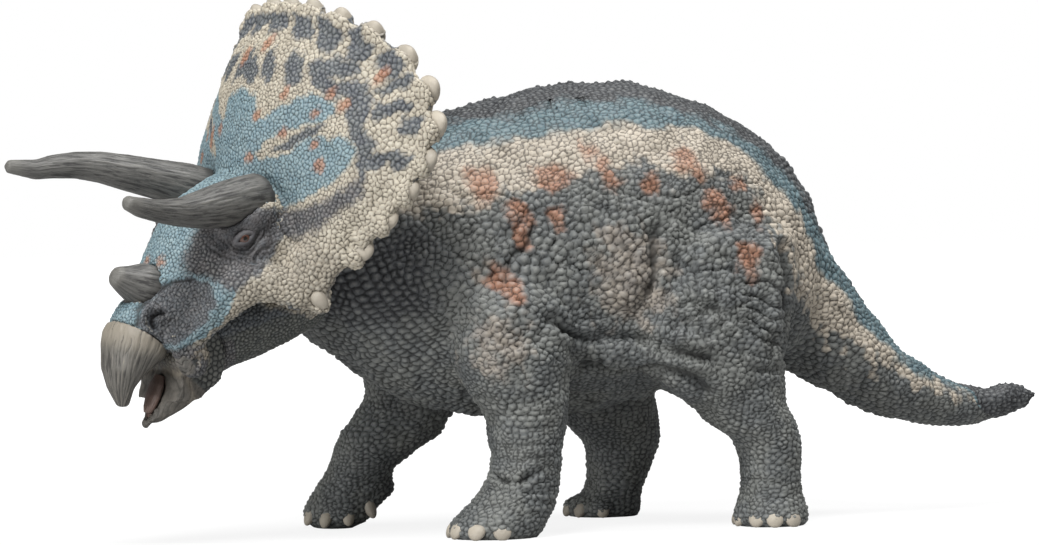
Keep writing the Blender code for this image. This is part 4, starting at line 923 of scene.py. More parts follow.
BLOTCHES = (((4, 57.8), (10.4, 57.5), (13.4, 53.6), (10.6, 54.6), (7.1, 55.2)),
            ((12.6, 56.6), (18.4, 56), (20.3, 52.6), (19.8, 50.8), (17.3, 51.9)),
            ((21.7, 53), (24.5, 53), (27.9, 49.3), (27.2, 47.6), (25.4, 47.2), (23.8, 48.7)),
            ((29.0, 46.7), (33, 48), (36, 44), (34.5, 42), (31.7, 43.9), (30.1, 45.0)),
            ((38.2, 34.4), (43.0, 33.2), (42.8, 31.4), (39.6, 32.0)),
            ((33.3, 29.6), (36.7, 29.2), (40.6, 27.9), (43, 26.3), (40.6, 24.9), (38.5, 27.0),
             (34.7, 27.0), (34.2, 25.0)),
            ((3.0, 52.0), (4.1, 53.0), (7.9, 49.6), (7.3, 47.9), (4.2, 49.6)),
            ((10.4, 50.6), (11.6, 52), (15.0, 50.2), (15.9, 47.6), (14.7, 46.7), (12.7, 47.4)),
            ((16.6, 49.8), (20.2, 49.5), (24.9, 47.5), (26.4, 45.2), (22.7, 46.6), (21.5, 46.0),
             (24.3, 44.6), (27.6, 43.4), (30.0, 42), (30.2, 40.1), (26.7, 41.5), (22.7, 43.5),
             (19.3, 46.0)),
            ((27.6, 41), (30.8, 40.8), (32.2, 38.1), (31.8, 36.3), (33, 34), (35.7, 31.4),
             (35.7, 29.2), (33.4, 29.3), (32.4, 31.9), (29.7, 35.7), (28.1, 38.7)),
            ((31.5, 41.2), (35.5, 41.6), (38.5, 42.2), (38, 40.2), (34.5, 40.2)),
            ((33.5, 38.4), (38.5, 37.6), (40.2, 36.2), (36.5, 35.9), (33.6, 36.6)))
FACE_BAND = ((26, 0), (30, 20), (33.7, 17.8), (38.6, 15.6), (44, 13.9), (47.6, 13.0), (51.8, 11.0),
             (55.6, 8.5), (58.6, 5.6), (63.5, 2.8), (62.5, 1.0), (59.7, 2.8), (56.6, 4.2),
             (53.3, 5.8), (49.3, 7.2), (46.2, 8.0), (42.2, 6.2), (39.1, 3.0), (31, -4), (27, -2))
EYE_DUSK = ((28, 24), (44.1, 29), (48.8, 25), (52, 22.6), (54.4, 20.3), (54.8, 18.6), (52.2, 17.4),
            (51.4, 13.4), (48.3, 13.4), (44, 14.5), (38.6, 16.3), (33.7, 18.3), (29, 20))
BLOTCHES_RIGHT = (((-15.5, 56), (-12.6, 56.8), (-6.4, 56.4), (-10.5, 54.6)),
                  ((-5.4, 58), (2.2, 58.4), (2.9, 56.2), (0.4, 55.7), (-4.6, 56.4)),
                  ((-5.0, 50.0), (-1.4, 52.1), (2.6, 50), (2.0, 48.2), (-1.6, 48.5)))
STREAK = ((12.6, 34.9), (15.1, 36.0), (18.5, 36.9), (21.1, 37.5), (23.8, 37.8), (22.8, 36.3),
          (19.5, 35.6), (16.6, 34.8))
DUSKY = ((14, 22.8), (17.4, 22.2), (21.3, 23.0), (26.4, 23.4), (30.5, 24.9), (32.5, 25.7),
         (34.6, 25.4), (35.2, 22.0), (32.4, 20.6), (30.5, 19.2), (27.2, 17.8), (22.6, 16.7),
         (20.4, 16.4), (15, 15), (12, 19))
middle = np.stack([mean_of(h[:, k], own, len(centres)) for k in range(3)], 1)
seen = 0.6 * h + 0.4 * middle[own]
front = np.stack([np.abs(seen[:, 1]), seen[:, 2]], 1)
front += np.stack([wobble(seen, 5, 12), wobble(seen, 5, 13)], 1) * 0.35
facing = ramp(mean_of(hn[:, 0], own, len(centres))[own], -0.30, 0.0)
on_frill = (seen[:, 0] < 36 - 0.35 * np.maximum(28 - seen[:, 2], 0)) & (facing > 0.5)


def finger(flat, a, b, wide_a, wide_b):
    """Inside a rounded finger from a to b the value is positive, in millimetres."""
    a, b = np.array(a, float), np.array(b, float)
    run = b - a
    t = np.clip(((flat - a) @ run) / (run @ run), 0, 1)
    far = np.hypot(*(flat - a - t[:, None] * run).T)
    return wide_a + (wide_b - wide_a) * t - far


blue = inside(front, BLUE_FIELD)
side_on = seen[:, [0, 2]] + np.stack([wobble(seen, 5, 14), wobble(seen, 5, 15)], 1) * 0.4
snout = np.maximum(finger(side_on, (36, 30), (60, 24), 8.5, 6.5),
                   finger(side_on, (60, 24), (73, 15.5), 6.0, 3.0))
snout = np.minimum(snout, 10.5 - 0.12 * (seen[:, 0] - 40) - np.abs(seen[:, 1]))
round_hollow = 2.4 - np.abs(inside(side_on, HOLLOW) + 1.5) * 1.6 - 3 * ramp(5.5 - side_on[:, 1], 0, 2)
blue = np.where(seen[:, 0] > 33, np.maximum(snout, np.where(side > 3, round_hollow, -9)), blue)
stamp(head.data, "blue", np.where(facing > 0.5, blue, -4) + 0.22 * tone_of[own])
pale = np.where(side > 8, inside(side_on, FACE_BAND) + 0.3 * wobble(seen, 3, 19), -9.0)
pale = np.where(on_frill, np.maximum(pale, 3.0), pale)
pale = np.where(facing > 0.5, pale, 1.3 * wobble(seen, 10, 18) - 0.2)
stamp(head.data, "pale", pale + 0.35 * tone_of[own])
glaze = np.where(side > 8, inside(side_on, FACE_BAND), -9.0)
stamp(head.data, "glaze", np.where(on_frill, np.maximum(glaze, -0.4), glaze) + 0.5 * tone_of[own])
dark = inside(front, STREAK) + 0.25
for outline in BLOTCHES:
    dark = np.maximum(dark, inside(front, outline) + 0.35)
unfolded = front * (np.sign(seen[:, 1:2]) * (1, 0) + (0, 1))
for outline in BLOTCHES_RIGHT:
    dark = np.maximum(dark, inside(unfolded, outline) + 0.35)
stamp(head.data, "inner", np.where(on_frill, dark, -5) + 0.25 * tone_of[own])
# a darker slate round the eye and on the frill by the cheek; in the nostril's hollow and low on the snout over
# the mouth it is painted shade
dusk = np.where(on_frill, inside(front, DUSKY) - 0.2, -9)
dusk = np.maximum(dusk, np.where(side > 7, inside(side_on, EYE_DUSK), -9.0))
dusk = np.maximum(dusk, np.where(side > 2, np.minimum(0.6 * inside(side_on, HOLLOW) - 0.7, 0.1), -9.0))
dusk = np.maximum(dusk, np.where(seen[:, 0] > 50, 5.6 - seen[:, 2] + 0.35 * (seen[:, 0] - 66), -9.0))
stamp(head.data, "dusk", np.where(facing > 0.2, dusk, -4) + 0.4 * tone_of[own])
FRILL_SPOTS = ((21.5, -15.5, 35.6, 1.9), (23.6, -6.8, 39.4, 1.2), (10.4, -6.3, 51.7, 1.4),
               (7.7, 1.1, 53.9, 1.3), (20.8, 7.0, 42.2, 1.0), (15.5, 13.3, 45.4, 0.9),
               (10.0, 23.3, 43.1, 0.9), (10.2, 26.6, 40.1, 1.2), (14.7, 21.3, 40.1, 0.9),
               (20.7, 14.6, 37.9, 1.0), (26.5, 6.6, 34.3, 1.2), (18.4, 22.7, 34.3, 1.0),
               (20.6, 24.8, 30.0, 1.4), (0.5, 31.6, 43.4, 1.3), (22.8, -13.4, 37.2, 1.5),
               (0.5, -31.6, 43.4, 1.3), (20.6, -24.8, 30.0, 1.4), (18.4, -22.7, 34.3, 1.0))
spot = np.full(len(p), -9.0)
for ahead, left, up, radius in FRILL_SPOTS:
    off_face = 6 * (np.abs(seen[:, 0] - ahead) > 9)
    spot = np.maximum(spot, radius - np.hypot(seen[:, 1] - left, seen[:, 2] - up) - off_face)
from_nose = np.stack([seen[:, 0] - 56.4, side - 3.0, seen[:, 2] - 22.6], 1)
spot = np.maximum(spot, 0.9 - np.linalg.norm(from_nose, axis=1) * 0.6)
stamp(head.data, "spot", spot + 0.3 * tone_of[own])
# low on the head, below the cheek band, the slate is painted darker: painted shade under the band's overhang
under = ramp(3.5 - seen[:, 2] + 0.1 * (seen[:, 0] - 50), 0, 5) * ramp(seen[:, 0], 5, 12) - 0.5
under = np.where(inside(side_on, FACE_BAND) > -0.3, -0.5, under)
stamp(head.data, "under", under * 4)
stamp(head.data, "bone", (1.12 - knob) * 3)
mouth = np.minimum(np.minimum(seen[:, 0] - 57.5, 2.0 - seen[:, 2]), 9.8 - side)
stamp(head.data, "mouth", mouth + 0.3 * tone_of[own])
lip = 1.5 - np.abs(np.hypot(seen[:, 0] - 64, seen[:, 2] + 4) - 7.5) * 0.7
stamp(head.data, "lip", np.where((seen[:, 0] < 63) & (seen[:, 2] < 2.6), lip, -9) + 1.2 * tone_of[own])
stamp(head.data, "horn", inside(side_on, BEAK_BACK) - 0.2)
crack = 0.85 * bell(edge, 0.13) * (1 - 0.6 * smooth_skin)
crack = np.where(horn_edge > 0, 0.85 * bell(strand, 0.35), crack)
stamp(head.data, "crack", np.maximum(crack, crease))
stamp(head.data, "raised", dome * (1 - 0.7 * crease) * (1 - smooth_skin))
stamp(head.data, "tone", tone_of[own] * (1 - 0.7 * smooth_skin))
# darker slate round the eye and the cheek, also used as painted shade in the nostril's hollow and over the
# mouth
DUSK, DUSK_2 = rgb(76, 77, 80), rgb(87, 85, 86)
INK, INK_2 = rgb(80, 84, 90), rgb(92, 96, 98)
face_paint = painted("head_paint", (rgb(92, 97, 102), rgb(80, 84, 88)),
                     (("pale", (rgb(190, 182, 165), rgb(166, 158, 142)), 0.8, 1.6),
                      ("glaze", (rgb(140, 132, 119), rgb(118, 112, 102), 0.66), 1.5, 2.5),
                      ("under", (rgb(74, 77, 76), rgb(86, 88, 84)), 1.0, 1.5),
                      ("inner", (INK, INK_2), 0.55, 1.1),
                      ("blue", (rgb(108, 131, 140), rgb(121, 142, 148)), 0.6, 1.2),
                      ("dusk", (DUSK, DUSK_2), 1.3, 1.6), ("spot", (RUST, RUST_2, 0.82), 0.6, 1.0),
                      ("lip", (rgb(150, 140, 124), rgb(124, 116, 104), 0.7), 0.9, 1.3),
                      ("mouth", (rgb(96, 82, 76), rgb(76, 66, 62)), 0.8, 0.8),
                      ("horn", (rgb(112, 108, 102), rgb(88, 86, 82)), 0.35, 0.4),
                      ("bone", (rgb(172, 164, 150), rgb(156, 149, 136)), 0.3, 0.2)),
                     rgb(112, 109, 106), rgb(206, 205, 196), 0.20, 0.95)
head.data.materials.append(face_paint)
part = np.searchsorted((7.0, 19.0, 31.0, 46.0), middle[:, 0])      # bands from frill to snout
part = join_strays(part, own, edges_of(head.data))
FACE_PIECES = ("frill_skin_rim", "frill_skin_middle", "frill_skin_root", "brow_skin", "snout_skin")
HEAD_RECESS = 0.25
for piece in cut_apart(head, part[own], FACE_PIECES, HEAD_RECESS).values():
    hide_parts("head_shell")
    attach(piece, "figure")

# ---------------------------------------------------------------------------------------------
# Horns: two long brow horns and a short nose horn, cast apart and plugged into the skull.
# Grey-brown, with fine grooves from root to tip and a paler worn tip. Sizes in millimetres.
# ---------------------------------------------------------------------------------------------


STREAK_SCALE, HORN_ROUGH = 1.5, 0.5


def grained(name, light, dark, pale):
    """Horn: fine streaks that follow the growth of the piece, in its colour and its surface."""
    paint = bpy.data.materials.new(name)
    paint.use_nodes = True
    tree = paint.node_tree
    nodes, links = tree.nodes, tree.links
    shader = nodes["Principled BSDF"]
    growth = nodes.new("ShaderNodeAttribute")
    growth.attribute_name = "growth"
    where = nodes.new("ShaderNodeTexCoord")
    streaks = noise_node(tree, growth.outputs["Vector"], STREAK_SCALE, 5, 0.62)
    broad = noise_node(tree, where.outputs["Object"], 160, 3, 0.62)
    shade = tuple(0.86 * c for c in light[:3]) + (1,)
    colour = blend_node(tree, range_node(tree, broad, 0.35, 0.65), light, shade)
    for share, over in ((range_node(tree, streaks, 0.52, 0.38), dark),
                        (range_node(tree, streaks, 0.56, 0.70, 0, 0.55), pale),
                        (range_node(tree, stamped(tree, "worn"), 0.0, 1.0, 0, 0.7), pale),
                        (range_node(tree, stamped(tree, "crack"), 0.1, 1.0, 0, 0.75), dark)):
        colour = blend_node(tree, share, colour, over)
    links.new(colour, shader.inputs["Base Color"])
    links.new(range_node(tree, streaks, 0.3, 0.7, HORN_ROUGH + 0.12, HORN_ROUGH - 0.08),
              shader.inputs["Roughness"])
    bump_node(tree, streaks, 0.9, 0.00025, shader)
    return paint


def arrow(mesh, name, values):
    """Keeps three numbers for each corner point."""
    layer = mesh.attributes.get(name) or mesh.attributes.new(name, "FLOAT_VECTOR", "POINT")
    layer.data.foreach_set("vector", np.asarray(values, np.float32).ravel())


def spine(points, start, steps):
    """Middle line of a long curved piece, from the end nearest start."""
    rough = points - points.mean(0)
    way = np.linalg.svd(rough[::7], full_matrices=False)[2][0]
    if (np.array(start) - points.mean(0)) @ way > 0:
        way = -way
    t = rough @ way
    ends = np.linspace(t.min(), t.max(), steps + 1)
    return np.array([points[(t >= a) & (t <= b)].mean(0) for a, b in zip(ends[:-1], ends[1:])])


def groove_horn(piece, start, steps, deep, strands, seed):
    """Cuts grooves along a horn, and keeps its growth lines for the paint."""
    points, normals = read(piece.data), read(piece.data, "normal")
    line = spine(points, start, steps)
    _, share = along(points, line)
    place = share * (len(line) - 1)
    low = np.clip(place.astype(int), 0, len(line) - 2)
    middle = line[low] + (line[low + 1] - line[low]) * (place - low)[:, None]
    way = line[-1] - line[0]
    length = np.linalg.norm(np.diff(line, axis=0), axis=1).sum()
    way /= np.linalg.norm(way)
    across = np.cross(way, (0, 0, 1.0))
    across /= np.linalg.norm(across)
    upward = np.cross(across, way)
    out = points - middle
    turn = np.arctan2(out @ upward, out @ across)
    rng = np.random.default_rng(seed)
    cut = np.zeros(len(points))
    for k in strands:
        bend = 0.5 * wobble(points, 11, seed + k)
        cut += np.abs(np.sin(k * turn * 0.5 + bend + rng.uniform(0, 6.28))) ** 0.6
    cut = cut / len(strands)
    fade = ramp(share, 0.0, 0.04) * ramp(1.02 - share, 0.0, 0.12)
    write(piece.data, points + normals * ((cut - 0.8) * deep * fade)[:, None])
    radius = np.linalg.norm(out, axis=1).mean()
    arrow(piece.data, "growth", np.stack([np.cos(turn) * radius, np.sin(turn) * radius,
                                          share * length * 0.13], 1))
    stamp(piece.data, "worn", ramp(share, 0.86, 1.0) * 0.6)
    stamp(piece.data, "crack", ramp(0.62 - cut, 0.0, 0.3) * fade + ramp(0.045 - share, 0, 0.045))


GROOVE = 0.26                               # depth
horn_paint = grained("horn_paint", rgb(92, 91, 88), rgb(52, 51, 50), rgb(118, 116, 110))
for node, steps, strands in (("brow_horn_left", 16, (14, 23, 31)),
                             ("brow_horn_right", 18, (14, 23, 31)),
                             ("nose_horn", 5, (13, 21))):
    horn = cast_skin("horn_skin_" + node, (node,), 0.50, 12, 1, 0.08)
    groove_horn(horn, HEAD, steps, GROOVE, strands, len(node))
    horn.data.materials.append(horn_paint)
    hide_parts(node)
    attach(horn, "figure")

# ---------------------------------------------------------------------------------------------
# Beak: the horny upper beak, cast apart in grey-brown and glued under the front of the skull.
# Its lines run from the seam down to the hooked tip. Sizes in millimetres.
# ---------------------------------------------------------------------------------------------
beak = cast_skin("beak_skin", ("upper_beak",), 0.46, 11, 1, 0.16)
p, n = read(beak.data), read(beak.data, "normal")
h = in_head(p)
TIP, SEAM, DOWN_BEAK = np.array((75.5, 0, -3.5)), np.array((67.5, 0, 6.0)), np.array((0.74, 0, 0.67))
run = np.linalg.norm(h - TIP, axis=1)
turn = np.arctan2(h[:, 1], (h - SEAM) @ DOWN_BEAK)         # round the line from seam to tip
fan = turn * 6 + 0.35 * wobble(h, 7, 31)
lines = np.abs(np.sin(fan * 2.1)) ** 0.6 * 0.6
lines += np.abs(np.sin(fan * 3.7 + 0.8 * wobble(h, 6, 32))) ** 0.6 * 0.4
write(beak.data, p + n * ((lines - 0.8) * 0.20)[:, None])
arrow(beak.data, "growth", np.stack([turn * 8, 0 * run, run * 0.10], 1))
stamp(beak.data, "crack", ramp(0.55 - lines, 0.0, 0.3) * 0.9)
stamp(beak.data, "worn", ramp(run, 11, 17) * 0.9)
beak.data.materials.append(grained("beak_paint", rgb(102, 99, 93), rgb(52, 50, 47), rgb(150, 142, 128)))
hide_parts("upper_beak")
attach(beak, "figure")

# ---------------------------------------------------------------------------------------------
# Lower jaw: the one part that moves, a hard casting on its pin, with a horny tip like the
# upper beak and pebbled skin behind it. Sizes in millimetres.
# ---------------------------------------------------------------------------------------------
jaw = cast_skin("jaw_skin", ("lower_jaw",), 0.54, 11, 1, 0.12)
p, n = read(jaw.data), read(jaw.data, "normal")
h = in_head(p)
some = slice(None, None, 2)
spacing = np.full(len(p), 1.15)
q = p + n * 1.0
centres = scatter_centres(q[some], spacing[some], (), 41)
centres = even_out(centres, q[some], 0)
own, edge = find_scales(q, centres, np.zeros(len(centres)))
tone_of = rng.uniform(-1, 1, len(centres))
t = np.clip(edge / 0.52, 0, 1)
dome = np.sqrt(1 - (1 - t) ** 2)
horny = ramp(h[:, 0] - 0.5 * (h[:, 2] + 7), 59.5, 63.0)
strand = np.abs(np.sin((h[:, 0] + 0.8 * h[:, 2]) * 1.9 + 0.9 * wobble(h, 4, 45)))
lift = 0.24 * (dome - 0.4) * (1 - horny) - 0.10 * bell(strand, 0.35) * horny
slimmer = np.sign(h[:, 1]) * np.abs(h[:, 1]) * 0.30 * ramp(h[:, 0], 65, 74)
inward = -AXES[1] * slimmer[:, None]        # towards the tip
# heights of the chin and the lip along the jaw; the skin is drawn in a little from both
chin = np.interp(h[:, 0], (54, 58, 62, 66, 70, 74), (-6.2, -10.0, -12.3, -13.3, -13.6, -12.0))
lip = np.interp(h[:, 0], (64, 66, 68, 70, 72, 74), (2.8, -2.6, -4.4, -6.2, -7.9, -9.6))
short_of_tip = ramp(74.5 - h[:, 0], 0, 2.5)
drawn = 1.8 * ramp(4.0 + chin - h[:, 2], 0, 4.0) * ramp(h[:, 0], 56, 61) * short_of_tip
drawn -= 1.4 * ramp(3.5 - lip + h[:, 2], 0, 3.5) * ramp(h[:, 0], 64.5, 66.5) * short_of_tip
write(jaw.data, p + n * lift[:, None] + inward + drawn[:, None] * AXES[2])
lining = ramp(-(n @ AXES[1]) * np.sign(h[:, 1]), 0.2, 0.7) * (h[:, 2] > -12)
stamp(jaw.data, "crack", bell(edge, 0.18) * (1 - horny) + 0.6 * bell(strand, 0.4) * horny)
stamp(jaw.data, "mouth", (lining - 0.5) * 3)
stamp(jaw.data, "raised", dome * (1 - horny))
stamp(jaw.data, "tone", tone_of[own] * (1 - horny))
stamp(jaw.data, "horny", (horny - 0.5) * 4)
stamp(jaw.data, "lip", (0.5 - np.abs(h[:, 0] - 64)) + 0.4 * tone_of[own])
jaw.data.materials.append(painted("jaw_paint", (rgb(86, 88, 86), rgb(74, 76, 74)),
                                  (("horny", (rgb(96, 92, 86), rgb(78, 75, 70)), 0.8, 0.5),
                                   ("lip", (rgb(148, 139, 124), rgb(124, 116, 106), 0.6), 1.0, 1.2),
                                   ("mouth", (rgb(112, 92, 84), rgb(84, 74, 70)), 0.8, 0.8)),
                                  rgb(110, 110, 108), rgb(168, 166, 154), 0.25))
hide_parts("lower_jaw")
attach(jaw, "lower_jaw")

# ---------------------------------------------------------------------------------------------
# Knobs round the frill's rim: smooth pale bone bumps, moulded in the rim and painted by hand,
# one at the tip of each cheek. Each stands on the rim, flattened front to back. Millimetres.
# ---------------------------------------------------------------------------------------------


def node_tree(name, inputs):
    """A Geometry Nodes tree with a mesh in and out, and named numbers for its sizes."""
    tree = bpy.data.node_groups.new(name, "GeometryNodeTree")
    tree.interface.new_socket("Geometry", in_out="INPUT", socket_type="NodeSocketGeometry")
    for label, kind, value in inputs:
        socket = tree.interface.new_socket(label, in_out="INPUT", socket_type=kind)
        if value is not None:
            socket.default_value = value
    tree.interface.new_socket("Geometry", in_out="OUTPUT", socket_type="NodeSocketGeometry")
    return tree, tree.nodes.new("NodeGroupInput"), tree.nodes.new("NodeGroupOutput")


def studs(name, spots, paint, rings=12, segments=20, taper=0.25):
    """Rounded studs on a skin, one for each spot: its place, outward and sideways directions,
    and its three half sizes (sideways, through, outward)."""
    tree, given, result = node_tree(name + "_nodes", (
        ("Rings", "NodeSocketInt", rings), ("Segments", "NodeSocketInt", segments),
        ("Taper", "NodeSocketFloat", taper), ("Material", "NodeSocketMaterial", None)))
    nodes, links = tree.nodes, tree.links

    def attribute(label):
        node = nodes.new("GeometryNodeInputNamedAttribute")
        node.data_type = "FLOAT_VECTOR"
        node.inputs["Name"].default_value = label
        return node.outputs["Attribute"]

    ball = nodes.new("GeometryNodeMeshUVSphere")
    ball.inputs["Radius"].default_value = 1.0
    links.new(given.outputs["Rings"], ball.inputs["Rings"])
    links.new(given.outputs["Segments"], ball.inputs["Segments"])
    place = nodes.new("GeometryNodeInputPosition")
    split = nodes.new("ShaderNodeSeparateXYZ")
    links.new(place.outputs[0], split.inputs[0])
    narrow = nodes.new("ShaderNodeMath")
    narrow.operation = "MULTIPLY"
    links.new(split.outputs["Z"], narrow.inputs[0])
    links.new(given.outputs["Taper"], narrow.inputs[1])
    keep = nodes.new("ShaderNodeMath")
    keep.operation = "SUBTRACT"
    keep.inputs[0].default_value = 1.0
    links.new(narrow.outputs[0], keep.inputs[1])
    thin = nodes.new("ShaderNodeCombineXYZ")
    links.new(keep.outputs[0], thin.inputs["X"])
    links.new(keep.outputs[0], thin.inputs["Y"])
    thin.inputs["Z"].default_value = 1.0
    shaped = nodes.new("ShaderNodeVectorMath")
    shaped.operation = "MULTIPLY"
    links.new(place.outputs[0], shaped.inputs[0])
    links.new(thin.outputs[0], shaped.inputs[1])
    move = nodes.new("GeometryNodeSetPosition")
    links.new(ball.outputs["Mesh"], move.inputs["Geometry"])
    links.new(shaped.outputs[0], move.inputs["Position"])
    smooth = nodes.new("GeometryNodeSetShadeSmooth")
    links.new(move.outputs[0], smooth.inputs[0])
    put = nodes.new("GeometryNodeInstanceOnPoints")
    links.new(given.outputs["Geometry"], put.inputs["Points"])
    links.new(smooth.outputs[0], put.inputs["Instance"])
    turn = nodes.new("FunctionNodeEulerToRotation")
    links.new(attribute("turn"), turn.inputs[0])
    links.new(turn.outputs[0], put.inputs["Rotation"])
    links.new(attribute("size"), put.inputs["Scale"])
    real = nodes.new("GeometryNodeRealizeInstances")
    links.new(put.outputs[0], real.inputs[0])
    finish = nodes.new("GeometryNodeSetMaterial")
    links.new(real.outputs[0], finish.inputs["Geometry"])
    links.new(given.outputs["Material"], finish.inputs["Material"])
    links.new(finish.outputs[0], result.inputs[0])

    mesh = bpy.data.meshes.new(name)
    mesh.from_pydata([tuple(np.array(s[0]) / 1000) for s in spots], [], [])
    turns, sizes = [], []
    for place, outward, sideways, size in spots:
        z = Vector(outward).normalized()
        x = (Vector(sideways) - z * Vector(sideways).dot(z)).normalized()
        y = z.cross(x)
        turns.append(tuple(Matrix((x, y, z)).transposed().to_euler()))
        sizes.append(tuple(v / 1000 for v in size))
    arrow(mesh, "turn", turns)
    arrow(mesh, "size", sizes)
    piece = show(name, mesh)
    grow = piece.modifiers.new("studs", "NODES")
    grow.node_group = tree
    for item in tree.interface.items_tree:
        if item.item_type == "SOCKET" and item.in_out == "INPUT" and item.name == "Material":
            grow[item.identifier] = paint
    settle(piece)
    return piece


def from_head(point):
    return HEAD + np.array(point) @ AXES


bone_paint = painted("bone_paint", (rgb(170, 162, 148), rgb(154, 147, 135)), (),
                     rgb(120, 116, 110), rgb(205, 198, 184), 0.3, 0.55, 0.0007, 0.5)
knobs = studs("frill_knobs", [(from_head(place), outward @ AXES, sideways @ AXES, size)
                              for place, outward, sideways, size in KNOBS], bone_paint)
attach(knobs, "figure")

# ---------------------------------------------------------------------------------------------
# Eyes: two small balls of their own casting, glossy rust-brown with a dark pupil, and the
# wrinkled lids of the skull's skin round each. Sizes in millimetres.
# ---------------------------------------------------------------------------------------------


def lid_ring(name, middle, sideways, upward, outward, reach, tall, thick, seed):
    """A closed, wrinkled ring of skin round an eye, almond-shaped."""
    turns, sections = 72, 20
    corners, faces = [], []
    rng = np.random.default_rng(seed)
    shift = rng.uniform(0, 6.28, 4)
    for i in range(turns):
        a = 2 * math.pi * i / turns
        pinch = 1 + 0.22 * abs(math.cos(a)) ** 3
        for j in range(sections):
            b = 2 * math.pi * j / sections
            r = thick[0] * (1 + 0.10 * math.sin(7 * b + 2 * math.sin(3 * a) + shift[0])
                            + 0.09 * math.sin(13 * a + 1.5 * math.cos(b) + shift[1]))
            out = math.cos(b) * r
            corners.append(tuple((middle + sideways * math.cos(a) * (reach * pinch + out)
                                  + upward * math.sin(a) * (tall + out)
                                  + outward * (thick[1] * math.sin(b) - 0.25 * abs(math.cos(a)) ** 2)) / 1000))
            k, m = (i + 1) % turns, (j + 1) % sections
            faces.append((i * sections + j, i * sections + m, k * sections + m, k * sections + j))
    mesh = bpy.data.meshes.new(name)
    mesh.from_pydata(corners, [], faces)
    work = bmesh.new()
    work.from_mesh(mesh)
    bmesh.ops.recalc_face_normals(work, faces=work.faces)
    work.to_mesh(mesh)
    work.free()
    for face in mesh.polygons:
        face.use_smooth = True
    return show(name, mesh)


LID_REACH, LID_TALL, LID_THICK, LID_OUT = 1.74, 0.92, (0.80, 0.85), 0.62
lid_paint = painted("lid_paint", (rgb(70, 70, 73), rgb(80, 77, 78)), (),
                    rgb(96, 94, 92), rgb(140, 136, 128), 0.15, 0.85, 0.0006, 0.65)
for node, hand in (("eye_left", 1), ("eye_right", -1)):
    ball = frame["nodes"][node]
    low, high = (np.array(v) * 1000 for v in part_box(node))
    middle = (low + high) / 2
    outward = np.array((0.18, 1.0 * hand, 0.16)) @ AXES
    outward /= np.linalg.norm(outward)
    sideways = FORWARD - outward * (FORWARD @ outward)
    sideways /= np.linalg.norm(sideways)
    upward = np.cross(outward, sideways) * hand
    lids = lid_ring("lids_" + ("left" if hand > 0 else "right"), middle + outward * LID_OUT,
                    sideways, upward, outward, LID_REACH, LID_TALL, LID_THICK, 5)
    stamp(lids.data, "crack", np.zeros(len(lids.data.vertices)))
    lids.data.materials.append(lid_paint)
    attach(lids, "figure")

    iris = bpy.data.materials.new("eye_paint_" + ("left" if hand > 0 else "right"))
    iris.use_nodes = True
    nodes, links = iris.node_tree.nodes, iris.node_tree.links
    shader = nodes["Principled BSDF"]
    where = nodes.new("ShaderNodeTexCoord")
    from_pupil = nodes.new("ShaderNodeVectorMath")
    from_pupil.operation = "DISTANCE"
    from_pupil.inputs[1].default_value = tuple((middle + outward * 1.7) / 1000)
    links.new(where.outputs["Object"], from_pupil.inputs[0])
    flecks = noise_node(iris.node_tree, where.outputs["Object"], 2600, 4, 0.5)
    wander = nodes.new("ShaderNodeMath")
    wander.operation = "MULTIPLY_ADD"
    links.new(flecks, wander.inputs[0])
    wander.inputs[1].default_value = 0.0003
    links.new(from_pupil.outputs["Value"], wander.inputs[2])
    rings = nodes.new("ShaderNodeValToRGB")
    rings.color_ramp.elements[0].position, rings.color_ramp.elements[0].color = 0.0, rgb(16, 14, 13)
    rings.color_ramp.elements[1].position, rings.color_ramp.elements[1].color = 1.0, rgb(52, 38, 32)
    for position, colour in ((0.36, rgb(20, 16, 14)), (0.44, rgb(66, 38, 30)), (0.6, rgb(76, 47, 36))):
        stop = rings.color_ramp.elements.new(position)
        stop.color = colour
    spread_out = nodes.new("ShaderNodeMapRange")
    spread_out.inputs["From Min"].default_value = 0.0
    spread_out.inputs["From Max"].default_value = 0.0017
    links.new(wander.outputs[0], spread_out.inputs["Value"])
    links.new(spread_out.outputs[0], rings.inputs[0])
    links.new(rings.outputs[0], shader.inputs["Base Color"])
    shader.inputs["Roughness"].default_value = 0.16
    shader.inputs["Coat Weight"].default_value = 0.6
    ball.data.materials.clear()
    ball.data.materials.append(iris)

# ---------------------------------------------------------------------------------------------
# Tongue and jaw pin: a small tongue cast apart, dull flesh grey like the mouth's lining, and
# the steel-grey pin that the jaw turns on, hidden in the cheeks.
# ---------------------------------------------------------------------------------------------
tongue_paint = painted("tongue_paint", (rgb(112, 92, 84), rgb(94, 80, 74)), (),
                       rgb(90, 84, 80), rgb(150, 132, 122), 0.3, 0.8, 0.0005, 0.45)
pin_paint = painted("pin_paint", (rgb(84, 86, 86), rgb(98, 98, 96)), (),
                    rgb(90, 90, 90), rgb(140, 140, 138), 0.3, 0.8, 0.0004, 0.4)
for node, paint in (("tongue", tongue_paint), ("jaw_hinge_pin", pin_paint)):
    frame["nodes"][node].data.materials.clear()
    frame["nodes"][node].data.materials.append(paint)

